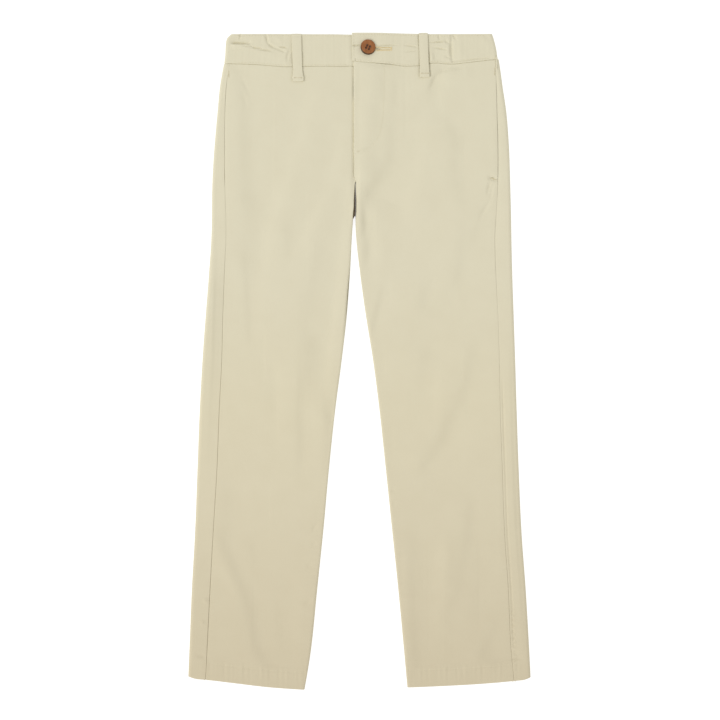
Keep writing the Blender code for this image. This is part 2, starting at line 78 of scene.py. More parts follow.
# Cloth of the dressed part
CLOTH = 0.8
BAND = 1.2
FACING_GAP = 0.9  # between the front's cloth and the facing behind it
FACING_LOW = 1.55  # the facing's outer face where a crease presses it down
BUTT = 0.05  # half the gap where two panels are sewn edge to edge
TUCK = 1.0  # how far a panel sinks to pass under the waistband
TUCK_REACH = 3.4
TURN_UP = 0.85  # radius of the hem's fold
FLY_RISE, FLY_SINK = 1.3, 1.1  # how much the fly's lap rises and the cloth under it sinks
TAB_RISE, TAB_SINK = 1.1, 0.5  # and the same for the waistband's tab
STITCH_SINK = 0.35  # how deep the hem's stitching presses into the cloth
FRONT_ROWS, BACK_ROWS = 1.95, 2.3  # distance between the rows of a panel's mesh
# How far a sewn edge rounds down, at a few distances from it
EDGE_AT = (0, 0.03, 0.12, 0.32, 0.7)
EDGE_DROP = (1.15, 0.75, 0.42, 0.17, 0.03)
# How far the inner and the outer edge puff out
PUFF_OUT = {"right": (0.1, 0.45), "left": (0.5, 0.1)}

# How far out the panels' edges and side seams lie, at the same distances down
SECTION_DOWN = (30, 60, 90, 130, 180, 217, 230, 280, 330, 380, 440, 510, 580, 650, 720, 768)
SECTIONS = {
    "right": {
        "outer": (
            150.1, 156, 158.9, 162.5, 165.3, 165.7, 165.9, 169, 172.9, 176.5, 179.8, 182.5, 185.2,
            189, 191.6, 193.5,
        ),
        "seam": (
            144.6, 148.9, 150.6, 151.1, 150.7, 149.5, 149.4, 151.3, 153.1, 154.3, 157.3, 160,
            164.2, 168, 171.3, 173.6,
        ),
        "inner": (
            0.3, 0.3, 0.3, 0.3, 0.3, 0.75, 1.65, 4.3, 8.1, 13.8, 21.6, 29, 35.4, 42.8, 50.6, 58.8,
        ),
    },
    "left": {
        "outer": (
            168.9, 174.5, 179, 182.1, 183.8, 184.7, 184.9, 186, 187.7, 189.4, 191.2, 193.6, 196.7,
            201.7, 205.5, 207.8,
        ),
        "seam": (
            166, 167.3, 168.2, 169.3, 168.9, 166.8, 166, 166.9, 169.3, 170.9, 172.1, 174.5, 177,
            181.5, 184.5, 188.7,
        ),
        "inner": (
            4.4, 4.4, 4.4, 4.4, 4.4, 2.8, 3.2, 8.3, 15.2, 23.3, 31, 38.5, 45.8, 53.1, 59.9, 64.3,
        ),
    },
}
# Lines through (out, down): the waistband's seam in front and at the back, and its upper edge,
# the hem's lower edge, and the waistband's outer side
BAND_SEAM = {
    "right": [
        (-30, 29.8), (-24, 30), (-9, 36), (2, 36.4), (50, 36.5), (74, 37.2), (115, 34.5),
        (150, 33.4),
    ],
    "left": [
        (-2, 30.4), (30, 33), (43, 34.1), (57, 36.2), (75, 35.9), (94, 32.8), (115, 34),
        (137, 31.8), (170, 28.1),
    ],
}
BAND_SEAM_BACK = {
    "right": [(-3, 35), (60, 35), (150, 33.2)],
    "left": [(-3, 35), (60, 34), (172, 28)],
}
BAND_EDGE = {
    "right": [(-30, -0.3), (7, -0.4), (20, -0.7), (50, -0.8), (75, -1), (151, -1)],
    "left": [(-2, -2.6), (25, -2.5), (48, -1.9), (75, -1.2), (170, -1.2)],
}
HEM_LINE = {
    "right": [(57, 767.7), (100, 764.6), (142, 759.6), (173, 755.9), (186, 754.6), (193, 752.4)],
    "left": [(62, 765), (111, 762.9), (153, 760.4), (188, 757.2), (202, 755.4), (207, 753.4)],
}
BAND_SIDE = {
    "right": [(143.8, -1), (147.2, 2), (149, 6), (149.9, 13), (150.3, 22), (151.5, 34)],
    "left": [(162.6, -1), (163.6, 2), (165.5, 9), (167.3, 17), (168.8, 29)],
}
# The fly's stitching, which curves to the front edge
J_STITCH = [(36, 38), (35.4, 80), (33, 105), (28, 121), (18.1, 131.6), (0.6, 138.4)]

# Values along a leg, as (places down, values there): how far the cloth dips towards the side
# seam, how deep the seam's ditch is, how much of its height the outer edge puffs up, and how far
# the fly's edge rounds down
SEAM_DIP = {
    "right": (
        (46, 64, 90, 150, 200, 760),
        (0, 0.1, 0.35, 0.3, 0.12, 0.1),
    ),
    "left": (
        (40, 60, 100, 220, 270, 380, 440, 760),
        (0.05, 0.15, 0.35, 0.35, 0.2, 0.12, 0.15, 0.15),
    ),
}
DITCH = {
    "right": (
        (38, 49, 55, 100, 135, 158, 165, 172, 192, 252, 268, 311, 382, 475, 546, 616, 686, 733,
         760),
        (0, 0, 0.25, 0.2, 0.3, 0.5, 1.2, 0.4, 0.2, 0.2, 0.34, 0.42, 0.56, 0.8, 0.72, 0.82, 1, 1,
         0.8),
    ),
    "left": (
        (38, 42, 50, 80, 100, 159, 177, 194, 241, 282, 311, 382, 452, 510, 569, 686, 760),
        (0, 0.03, 0.06, 0.15, 0.3, 0.3, 0.2, 0.12, 0.26, 0.16, 0.08, 0.14, 0.2, 0.3, 0.3, 0.36,
         0.3),
    ),
}
PUFF = {
    "right": ((230, 252, 268, 294, 358, 405, 464, 510), (0, 0.2, 0.5, 1, 1, 0.65, 0.3, 0)),
    "left": ((330, 400, 680, 740), (0, -0.5, -0.5, 0)),
}
PUFF_HEIGHT = {"right": 2.1, "left": 1}
FLY_RIM = (
    (30, 47, 56, 74, 81, 90, 103, 114, 122, 133, 145, 155, 167),
    (1, 1.2, 0.4, 0.7, 2.2, 2.4, 1.4, 2.5, 2.5, 1.5, 1.5, 1.2, 0.6),
)

# Pulls: the cloth climbs or drops across a line, and eases back over a few widths. Each is its
# width, then the line's points as (out, down, rise).
PULLS = {
    "right": [
        (8.8, (131.3, 52.3, -0.3), (130.1, 71, -0.8), (129.5, 123.8, -0.95),
         (128.9, 194.1, -0.65)),
        (11, (120.7, 69.9, -0.39), (120.7, 191.7, -0.53)),
        (16.5, (120.7, 201.1, -0.99), (121.9, 266.7, -1.19)),
        (4.8, (127.8, 262.1, -0.33), (125.4, 299.6, -0.56), (123.1, 355.8, -0.34)),
        (7.4, (140.7, 37, -0.58), (134.8, 67.5, -0.33)),
        (11, (50.4, 71, 0.9), (59.8, 109.7, 0.92), (71.5, 147.2, 0.8), (84.4, 182.4, 1.12),
         (96.1, 219.9, 1.2), (102, 252.7, 0.97), (106.7, 311.3, 0.6), (111.4, 367.5, 0.27)),
        (9.1, (14.1, 112, 0.71), (21.1, 158.9, 0.74), (31.7, 187.1, 0.87), (44.6, 211.7, 1.4),
         (57.4, 236.3, 0.94)),
        (7.4, (77.4, 229.2, -0.62), (78.5, 257.4, -0.62)),
        (10.1, (41, 252.7, -0.94), (49.2, 292.5, -0.8), (58.6, 344.1, -0.53)),
        (8.2, (5.9, 180, 0.81), (10.6, 241, 1.03), (17.6, 299.6, 1.25), (25.8, 364, 1.04),
         (31.7, 426.1, 0.72)),
        (12.9, (50.4, 367.5, -1.5), (52.8, 391, -1.5)),
        (5.9, (62.1, 405, -0.43), (63.3, 442.5, -0.7), (63.3, 481.2, -0.57),
         (65.7, 517.6, -0.29)),
        (9.1, (89.1, 393.3, 0.43), (87.9, 466, 0.43)),
        (7.4, (97.3, 395.7, -0.35), (97.3, 433.2, -0.35)),
        (7.4, (31.7, 430.8, -1.09), (32.8, 444.9, -0.91)),
        (5.5, (28.1, 449.6, -0.69), (30.5, 470.7, -0.54), (32.8, 510.5, -0.27)),
        (12.9, (150, 536.3, -0.93), (151.2, 573.8, -0.93)),
        (8.4, (154.7, 592.6, -0.75), (144.2, 618.3, -1.12), (133.6, 643, -1.12),
         (125.4, 662.9, -1.12), (119.6, 686.3, -1.14), (113.7, 716.8, -1.12),
         (103.2, 736.7, -0.75)),
        (7.4, (162.9, 609, 0.49), (153.5, 628.9, 0.57), (140.7, 651.2, 0.41)),
        (7.4, (119.6, 599.6, -0.5), (117.2, 613.7, -0.5)),
        (12.9, (65.7, 645.3, 0.77), (66.8, 712.1, 0.62)),
        (5.5, (89.1, 668.7, -0.19), (85.6, 709.8, -0.25)),
    ],
    "left": [
        (3.6, (10.6, 198, 0.5), (11.1, 210, 1.5), (11.5, 222, 1.7), (11.3, 234, 0.6)),
        (4.6, (14, 238, 0.5), (14.5, 252, 1.1), (13, 268, 0.5)),
        (8.2, (50.4, 37, 0.52), (44.5, 88.6, 0.61), (43.3, 123.8, 0.85), (41, 156.6, 0.5)),
        (9.6, (38.7, 148.4, 0.8), (27.9, 168, 2.7), (16.2, 184.9, 2.7), (11.1, 204.1, 0.4)),
        (7.4, (25.8, 238.6, -0.4), (24.6, 276.1, -0.4)),
        (8.2, (106.6, 98, 0.56), (113.7, 109.7, 0.82), (119.5, 127.3, 0.86), (117.2, 153.1, 0.77),
         (121.9, 177.7, 0.56), (127.7, 201.1, 0.46)),
        (9.1, (127.7, 226.9, 0.8), (124.2, 262.1, 0.93), (120.7, 285.5, 0.99),
         (109, 299.6, 0.85)),
        (11.9, (80.8, 123.8, -0.95), (73.8, 158.9, -0.96), (63.3, 201.1, -1.14)),
        (5.1, (89.1, 60.5, -0.9), (94.9, 49.9, -1.42), (109, 41.7, 1.14), (130.1, 38.8, 0.85)),
        (6.4, (101.9, 67.5, -0.52), (104.3, 90.9, -0.44)),
        (9.1, (148.8, 210.5, 0.81), (140.6, 233.9, 0.81)),
        (9.1, (84.4, 296.5, 1.05), (79.5, 311.6, 1.05)),
        (11, (83.2, 376.9, 1.28), (80.8, 391, 1.28)),
        (9.1, (138.3, 376.9, 0.88), (131.2, 405, 0.9), (123, 428.5, 1.17), (110.1, 451.9, 1.5),
         (100.8, 477.7, 1.5), (83.2, 501.1, 1.5)),
        (8.2, (99.6, 402.7, -0.5), (97.3, 444.9, -0.5)),
        (11, (83.2, 395.7, -0.49), (91.4, 412.1, -0.49)),
        (8.2, (135.9, 555.1, 0.81), (133.6, 586.7, 0.94), (127.7, 616, 0.76),
         (120.7, 651.2, 0.72), (106.6, 679.3, 0.69)),
        (7.4, (114.8, 609, 0.55), (112.5, 635.9, 0.55)),
        (11, (101.9, 604.3, -0.94), (98.4, 688.7, -0.8)),
        (8.2, (68, 592.6, 0.49), (68, 662.9, 0.58), (71.5, 723.8, 0.96)),
        (6.4, (57.4, 616, -0.53), (60.9, 715.6, -0.53)),
        (8.2, (164.7, 698.4, 0.6), (151.3, 726.8, 0.7)),
        (4, (32.8, 299.6, 0.4), (26.9, 323, 0.7), (20.8, 350, 0.55)),
        (9.1, (143, 616, 0.44), (141.8, 680.5, 0.44)),
        (4.8, (32.8, 55.8, 0.39), (34, 73.4, 0.39)),
        (4.4, (46.9, 59.3, 0.32), (46.9, 75.7, 0.32)),
        (8.2, (26.9, 88.6, 0.5), (29.3, 105, 0.42)),
        (12.9, (7, 39.4, -1.07), (7, 109.7, -0.92)),
        (3.2, (73.2, 737.9, 0.47), (73.8, 756.6, 0.47)),
        (9.1, (153.5, 727.3, 0.7), (178.1, 747.3, 1.17)),
    ],
}
BAND_PULLS = {
    "right": [
        (1.7, (149.4, 9.9, -1.6), (136, 10, -2.1), (123, 10.5, -1.2)),
        (2.3, (4.1, 1.9, -0.41), (2.4, 27.7, -0.48)),
        (2.9, (76.2, 20.6, -0.42), (75, 31.2, -0.42)),
    ],
    "left": [
        (2.1, (114.3, 0.7, 0.44), (113.1, 18.3, 0.48), (116, 34.7, 0.29)),
        (2.9, (93.2, 18.3, 0.34), (94.3, 32.3, 0.43)),
        (3.2, (155.9, 3, 0.57), (164.1, 7.7, 0.69)),
    ],
}
# Folds: a soft trough or ridge along a bowed line. Each is (out, down) at both of its ends, the
# bow, half the width and the rise.
BAND_FOLDS = {
    "right": [
        (149.6, 9.6, 122.5, 10.2, 0, 0.9, -2.2), (146, 6.6, 126, 7.2, 0, 2, 0.7),
        (129, 12.8, 121.5, 13.6, 0, 0.7, -1), (123.5, 11.6, 113.5, 15.8, 0, 0.8, -0.8),
        (117.5, 15, 107.5, 15.5, 0, 0.75, -2), (111, 17, 96, 18.6, 0, 0.8, -1.5),
        (102.8, -0.8, 100.4, 9.1, 0, 1.4, -1.5), (100.4, 9.1, 91.2, 15.2, -0.8, 1.5, -1.6),
        (91.2, 15.2, 80, 19.9, 0, 1.4, -1.2), (86.5, 14, 78.5, 15, 0, 0.75, -2),
        (131.6, -1.6, 133.6, 5.4, 0, 1.1, -1.4), (75.4, 20, 77.6, 31, -1, 1.6, -1),
        (92, 2, 84, 8, 0, 3, 0.5), (110, 20, 90, 24, 0, 4, 0.4),
    ],
    "left": [
        (-1.5, 12.7, 8.2, 12, 0, 0.75, -2.2), (25.8, 12.4, 51.5, 11.6, 0, 0.75, -1.2),
        (24.5, 16.5, 31, 16.4, 0, 0.7, -3.6), (59.8, 11.8, 75, 14.2, 0, 0.8, -1.1),
        (59.8, 19.5, 75, 18.6, 0, 0.8, -0.7), (90.5, 8.8, 108, 7.6, 0, 0.8, -1.4),
        (99.5, -1, 101, 6, 0, 1.3, -0.8), (107, 6, 112.5, 10.1, 0, 1.5, -1.2),
        (117.2, -1, 119.5, 5.4, 0, 1.4, -1.2), (94.9, 14.8, 109, 17.1, 0, 0.9, -1.2),
        (115, 2, 116.2, 33, 1, 1.8, -1.5), (108, 25, 113, 27, 0, 1.4, -0.9),
        (91.5, 22, 92.5, 31, 0, 2, 0.7), (116, 31.2, 160.5, 26, 0, 0.8, -0.8),
        (124, 4, 126, 30, 0, 4, 0.4),
    ],
}
CREASES = {
    "right": [
        (132, 50, 121, 70, 0, 1.6, -0.5), (129, 70, 126, 84, 0, 1.6, -0.4),
        (170.5, 665, 176, 664.6, 0, 1.6, 1.6), (175.5, 693, 179.5, 692.5, 0, 1.6, 1.6),
        (175, 733.5, 189, 732.5, 0, 1.5, -2.4), (188, 734, 187.5, 748, 0, 1, -1.2),
        (42.5, 573, 48, 581, 0, 2, -0.7), (44.5, 596, 49, 599, 0, 2, -0.6),
        (49, 620, 54, 624, 0, 2.2, -0.6), (49.5, 661, 58, 665, 0, 2.2, -0.8),
    ],
    "left": [
        (158.6, 166.4, 168.4, 170, 0, 1.5, -3), (160.8, 170.5, 157.4, 187, 0.6, 1.3, -1.6),
        (164.5, 172, 160.5, 194, 0.6, 1.5, -0.8), (160.5, 194, 148, 216, 1, 1.6, -0.75),
        (40.5, 505, 44.5, 504, 0, 1.8, -0.6), (43.8, 534, 48.5, 533, 0, 2, -0.6),
        (45.5, 549, 50, 550, 0, 1.8, -0.5), (90.2, 62.8, 97.3, 48.8, 0, 1.8, -1.2),
        (97.3, 48.8, 110, 42, -0.8, 1.4, -1.5), (110, 42, 129, 40, 0, 1.1, -1.3),
        (188.5, 735.5, 203, 734.5, 0, 1.5, -2.2), (188.5, 743, 203, 742, 0, 1.3, -1.6),
    ],
}
# The back lies on the surface, so each of its folds lifts the cloth a little.
BACK_FOLDS = [
    (40, 90, 96, 190, 5, 9, 0.8), (128, 110, 96, 214, -4, 10, 0.7), (20, 232, 70, 300, 3, 8, 0.9),
    (150, 250, 88, 330, 4, 9, 0.8), (38, 340, 92, 372, 3, 9, 0.7),
    (142, 380, 80, 500, -4, 10, 0.9), (64, 470, 70, 610, 0, 11, 0.6),
    (158, 540, 118, 700, 0, 9, 0.8), (88, 640, 84, 735, 0, 8, 0.6),
]

BeltLoop = namedtuple("BeltLoop", "out foot_out foot_down width")
BELT_LOOPS = {
    "right": BeltLoop(67.1, 64.8, 54.4, 12.8),
    "left": BeltLoop(81.8, 83.5, 49.3, 11.8),
}
# A loop's width at a few shares of its length
LOOP_WIDTHS = {
    "right": ((0, 0.5, 0.85, 0.93, 1), (12, 11.2, 11.9, 13.4, 12.4)),
    "left": ((0, 0.3, 0.5, 0.85, 0.93, 1), (10.5, 10.4, 10.4, 11, 11.5, 11)),
}
# (distance from a loop's upper end, how high the middle of its cloth lies over the ground), and
# the same from its lower end, round the folded foot
LOOP_START = {
    "right": [(0.1, -0.3), (0.5, 0.25), (1.4, 0.55), (2.4, 0.4), (3.6, 0.6), (9, 0.95)],
    "left": [
        (-0.45, -2.2), (-0.7, -1.1), (-0.6, -0.1), (-0.1, 0.6), (0.9, 0.95), (2, 0.8),
        (4.5, 0.85), (9, 0.95),
    ],
}
LOOP_FOOT = [
    (-8, 1.05), (-5.2, 1.3), (-4.2, 1.18), (-3.2, 1.35), (-1.6, 1.5), (-0.65, 1.4),
    (-0.4, 0.98), (-0.65, 0.58), (-2, 0.5), (-7, 0.5),
]
LOOP_HALF = 0.5  # half the strap's thickness
LOOP_TACK = 4.2  # how far above the lower end its bartack lies

BUTTON_OUT, BUTTON_DOWN = 16.7, 14.6
BUTTON_RADIUS = 9
BUTTON_LIFT = 0.6
BUTTON_THICK = 2.9
BUTTON_TILT = (math.radians(-3), math.radians(11), 0)
# (share of the radius, distance below the rim), from the dish over the rim and under it
BUTTON_PROFILE = [
    (0, 1), (0.3, 1), (0.44, 0.93), (0.52, 0.7), (0.6, 0.34), (0.67, 0.12), (0.75, 0),
    (0.84, 0.02), (0.92, 0.22), (0.975, 0.62), (1, 1.15), (0.985, 1.75), (0.93, 2.35),
    (0.84, 2.85), (0.7, 3.15), (0.45, 2.9), (0, 2.9),
]
HOLE_RADIUS, HOLE_SPACING = 1.25, 3.5
HOLE_TURN = math.radians(-24)
SHANK = 2.6  # how far the thread reaches below the button
STRAND, STRANDS_APART = 0.25, 0.42  # radius of the button's thread, and between its strands
BUTTONHOLE_DOWN = 16.4
BUTTONHOLE_FROM, BUTTONHOLE_TO = 25.5, 43  # its stitches, from beside the button to its end
BUTTONHOLE_WIDTH = 0.8

THREAD = 0.2  # radius of the sewing thread
TACK = 1.8  # width of a bartack
UP = np.array([0, 0, 1.0])
ACROSS = np.array([1.0, 0, 0])
ALONG = np.array([0, 1.0, 0])

# (how far up the garment in metres, colour of the twill there), darker towards the hems as a
# painted light falloff
PAINTED_FALLOFF_TONES = [
    (-0.385, (0.60, 0.526, 0.371)),
    (-0.15, (0.662, 0.599, 0.434)),
    (-0.05, (0.678, 0.618, 0.447)),
    (0.1, (0.696, 0.646, 0.482)),
    (0.385, (0.70, 0.655, 0.49)),
]

# What each sheet of cloth was cut to, in metres, its area where that isn't a rectangle, and what
# it lies on
CUTS = {
    "front_right": ((0.202, 0.764), 0.121, ["back_right_cloth"]),
    "front_left": ((0.210, 0.764), 0.128, ["back_left_cloth"]),
    "back_right": ((0.245, 0.764), 0.152, ["floor"]),
    "back_left": ((0.252, 0.764), 0.157, ["floor"]),
    "pocket_facing_right": ((0.021, 0.142), None, ["back_right_cloth"]),
    "pocket_facing_left": ((0.021, 0.142), None, ["back_left_cloth"]),
    "waistband_right": ((0.328, 0.037), None, ["back_right_cloth"]),
    "waistband_left": ((0.332, 0.037), None, ["back_left_cloth"]),
    "belt_loop_right": ((0.0125, 0.066), None, ["waistband_right_cloth"]),
    "belt_loop_left": ((0.0118, 0.063), None, ["waistband_left_cloth"]),
}


def smoothstep(at, start, end):
    t = np.clip((at - start) / (end - start), 0, 1)
    return t * t * (3 - 2 * t)


def between(at, start, full, fades, end):
    """Rises from 0 to 1 and falls back to 0."""
    return smoothstep(at, start, full) * (1 - smoothstep(at, fades, end))


def bell(at, middle, width):
    return np.exp(-(((at - middle) / width) ** 2))


def ripple(along, phase=0.0):
    """An uneven row of small puckers, about -1 to 1."""
    waves = ((4.3, 0.6, 0.0), (6.7, 1.0, 1.3), (9.1, 0.8, 4.1), (15.7, 0.7, 2.2), (31.0, 0.5, 5.0))
    total = 0
    for k, (length, share, start) in enumerate(waves, 1):
        total = total + share * np.sin(2 * np.pi * along / length + start + phase * k)
    return total / 2.2


def on_curve(at, stations, values):
    """The value at a place on the smooth curve through values at stations."""
    stations, values = np.array(stations, float), np.array(values, float)
    slopes = np.gradient(values, stations)
    i = np.clip(np.searchsorted(stations, at) - 1, 0, len(stations) - 2)
    step = stations[i + 1] - stations[i]
    t = np.clip((at - stations[i]) / step, 0, 1)
    rest = 1 - t
    return (
        values[i] * (1 + 2 * t) * rest * rest
        + values[i + 1] * (3 - 2 * t) * t * t
        + slopes[i] * step * t * rest * rest
        - slopes[i + 1] * step * t * t * rest
    )


def curve(points, count):
    """A smooth line of count points through the given ones."""
    points = np.array(points, float)
    stations = np.arange(len(points))
    at = np.linspace(0, stations[-1], count)
    return np.stack([on_curve(at, stations, column) for column in points.T], axis=1)


def outline(side, line, down):
    """How far out a panel's outer edge, side seam or inner edge lies."""
    return on_curve(down, SECTION_DOWN, SECTIONS[side][line])


def level(points, out):
    """How far down a line through (out, down) points runs."""
    return on_curve(out, *zip(*points))


def to_frame(side, out, down, height):
    out, down, height = np.broadcast_arrays(out, down, height)
    return np.stack([CENTRE_X + SIGN[side] * out, WAIST_Y - down, height], axis=-1) * MM


# Heights of the upper side


def fold_height(folds, out, down):
    """How much a table of folds raises the cloth at a place."""
    height = 0.0 * (out + down)
    for start_out, start_down, end_out, end_down, bow, spread, rise in folds:
        run, drop = end_out - start_out, end_down - start_down
        length = math.hypot(run, drop)
        run, drop = run / length, drop / length
        from_out, from_down = out - start_out, down - start_down
        t = (from_out * run + from_down * drop) / length
        inside = np.clip(t, 0, 1)
        past_end = np.maximum(np.maximum(-t, t - 1), 0) * length
        bowed = bow * 4 * inside * (1 - inside)
        aside = np.hypot(from_down * run - from_out * drop - bowed, past_end)
        taper = 0.35 + 0.65 * np.sin(np.pi * inside)
        height = height + rise * taper * bell(aside, 0, spread)
    return height


def pull_height(pulls, out, down):
    """How much a table of pulls raises the cloth at a place."""
    out, down = np.broadcast_arrays(out, down)
    height = np.zeros(out.shape)
    for width, *path in pulls:
        line = curve(path, 6 * len(path) - 5)
        low, high = line.min(axis=0) - 4 * width, line.max(axis=0) + 4 * width
        near = (out > low[0]) & (out < high[0]) & (down > low[1]) & (down < high[1])
        if not near.any():
            continue
        start, step = line[:-1, :, None], np.diff(line, axis=0)[:, :, None]
        run, drop = step[:, 0], step[:, 1]
        length = np.hypot(run, drop)
        from_out, from_down = out[near] - start[:, 0], down[near] - start[:, 1]
        t = (from_out * run + from_down * drop) / length**2
        inside = np.clip(t, 0, 1)
        gap = np.hypot(from_out - inside * run, from_down - inside * drop)
        cross = (from_down * run - from_out * drop) / length
        rise = start[:, 2] + inside * step[:, 2]
        # only the nearest stretch of the line counts
        nearest = gap.argmin(axis=0)[None]
        found = [np.broadcast_to(v, t.shape) for v in (t, gap, cross, length, rise)]
        t, gap, cross, length, rise = (np.take_along_axis(v, nearest, 0)[0] for v in found)
        before = np.where(nearest[0] == 0, np.maximum(-t, 0), 0)
        past = before + np.where(nearest[0] == len(line) - 2, np.maximum(t - 1, 0), 0)
        aside = np.where(past > 0, cross, np.sign(cross) * gap) / width
        fading = np.exp(-((aside / 3) ** 2) - (past * length / (1.4 * width)) ** 2)
        height[near] += rise * np.tanh(1.2 * aside) * fading
    return height


def near_path(path, out, down):
    """The distance to a smooth line through points."""
    line = curve(path, 60)
    nearest = np.full(np.broadcast(out, down).shape, 1e9)
    for a, b in zip(line[:-1], line[1:]):
        ab = b - a
        t = np.clip(((out - a[0]) * ab[0] + (down - a[1]) * ab[1]) / (ab @ ab), 0, 1)
        gap = np.hypot(out - a[0] - t * ab[0], down - a[1] - t * ab[1])
        nearest = np.minimum(nearest, gap)
    return nearest


def fly_lift(side, out, down):
    """The left front laps over the right one, which runs under it."""
    if side == "right":
        under = smoothstep(-out, -2.4, 0.8) * (1 - smoothstep(down, FLY_END, FLY_END + 14))
        return -FLY_SINK * under
    reach = 20 - 9 * smoothstep(down, WAIST + 14, WAIST + 60)
    over = 1 - smoothstep(out, reach, reach + 20)
    return FLY_RISE * over * (1 - smoothstep(down, FLY_END - 6, FLY_END + 12))


def mouth(down):
    """Where the pocket mouth is open, from 0 to 1."""
    return between(down, MOUTH_TOP, MOUTH_TOP + 12, MOUTH_END - 10, MOUTH_END)


def loop_dent(side, out, down):
    """The cloth is drawn down along both sides of a belt loop."""
    loop = BELT_LOOPS[side]
    share = np.clip(down / loop.foot_down, 0, 1)
    middle = loop.out + (loop.foot_out - loop.out) * share
    from_edge = np.abs(out - middle) - on_curve(share, *LOOP_WIDTHS[side]) / 2
    if side == "right":
        depth = 0.1 + 0.35 * smoothstep(down, 16, 24)
    else:
        towards_fly = 1 - 0.6 * bell(down, 22, 12)
        towards_side = 0.3 + 1.1 * smoothstep(down, 14, 24)
        outer = smoothstep(out, middle - 1, middle + 1)
        depth = towards_fly + (towards_side - towards_fly) * outer
    ends = 1 - smoothstep(down, loop.foot_down - 1, loop.foot_down + 1)
    return -depth * bell(from_edge, 0.2, 0.9) * ends


def puckers(side, out, down):
    """Small gathers where the cloth is stitched: along the seams, the hem and the waist."""
    seam, inner = outline(side, "seam", down), outline(side, "inner", down)
    low = smoothstep(down, 480, 640)
    side_seam = (0.07 + 0.14 * low) * ripple(down, 0.7) * bell(out, seam, 6)
    inseam = (0.1 + 0.16 * low) * ripple(down, 3.1) * bell(out, inner + 2, 5)
    inseam = inseam * smoothstep(down, 250, 300)
    hem = 0.24 * ripple(out * 1.15, 1.9) * (0.35 + 0.65 * bell(down, HEM_STITCH + 3, 8))
    hem = hem * smoothstep(down, HEM_STITCH - 8, HEM_STITCH + 1)
    waist = 0.12 * ripple(out, 4.2) * np.exp(-np.maximum(down - WAIST, 0) / 7)
    total = side_seam + inseam + hem + waist
    if side == "left":  # the seam allowance pulls the strip into small rungs near the hem
        rungs = np.sin(down * 2 * np.pi / 8.2 + 0.8 * np.sin(down / 11))
        total = total + rungs * bell(out - seam, 4.4, 2) * between(down, 668, 684, 732, 740)
    return total


def panel_height(side, out, down):
    """The outer face of a panel's upper side."""
    seam, inner = outline(side, "seam", down), outline(side, "inner", down)
    dip = on_curve(down, *SEAM_DIP[side]) * bell(out, seam, 3)
    if side == "left":
        dip = dip + 0.15 * bell(down, 530, 38) * bell(out - seam, -0.5, 2)
        dip = dip + 0.95 * between(down, 395, 430, 705, 730) * bell(out - seam, 3.3, 0.9)
        stitching = bell(near_path(J_STITCH, out, down), 0, 1)
        dip = dip + (0.03 + 0.9 * smoothstep(down, 122, 132)) * stitching
    folds = pull_height(PULLS[side], out, down) + fold_height(CREASES[side], out, down)
    folds = folds * smoothstep(down, WAIST, WAIST + 6) * smoothstep(out - inner, -1, 3)
    folds = folds * (1 - 0.7 * smoothstep(down, HEM_STITCH - 8, HEM_STITCH))
    hem = HEM_STEP * smoothstep(down, HEM_STITCH - 6, HEM_STITCH - 1)
    hem = hem - STITCH_SINK * bell(down, HEM_STITCH, 1)
    lift = fly_lift(side, out, down) + puckers(side, out, down) + loop_dent(side, out, down)
    return PANEL_TOP + folds + hem - dip + lift


def waist_seam(side, out, behind=0.0):
    """How far down the waistband's seam lies, in front or behind."""
    front = level(BAND_SEAM[side], out)
    return front + behind * (level(BAND_SEAM_BACK[side], out) - front)


def band_height(side, out, down):
    """The outer face of the waistband's front."""
    folds = fold_height(BAND_FOLDS[side], out, down) + pull_height(BAND_PULLS[side], out, down)
    folds = folds * smoothstep(waist_seam(side, out) - down, 0.6, 3) + 0.07 * ripple(out, 4.2)
    if side == "right":
        lift = -TAB_SINK * smoothstep(-out, -3, 0.2)
    else:  # the tab lies over the right half
        lift = TAB_RISE * (1 - smoothstep(out, 33, 56)) - 0.7 * (1 - smoothstep(out, -3, 13))
    return BAND_TOP + folds + lift + loop_dent(side, out, down)


def surface_height(side, out, down):
    """The upper face of the waistband, or of the panel below its seam."""
    below = down - waist_seam(side, out)
    panel = panel_height(side, out, WAIST + np.maximum(below, 0))
    return np.where(below < WAIST_GAP, band_height(side, out, down), panel)


# Making a piece


def linked(name, data, material=None):
    """A new object in the scene, smooth and in its material where it has one."""
    if material:
        data.materials.append(material)
        data.shade_smooth()
    made = bpy.data.objects.new(name, data)
    bpy.context.scene.collection.objects.link(made)
    return made


def outward(here, along, columns, up=1, rows=slice(None)):
    """Unit normals of a grid of points, which point out of the garment. The given columns and
    rows lie flat, and up says which way they face."""
    normal = np.cross(np.gradient(here, axis=1), along)
    normal /= np.linalg.norm(normal, axis=-1, keepdims=True) + 1e-12
    return -normal if normal[rows, columns, 2].mean() * up < 0 else normal


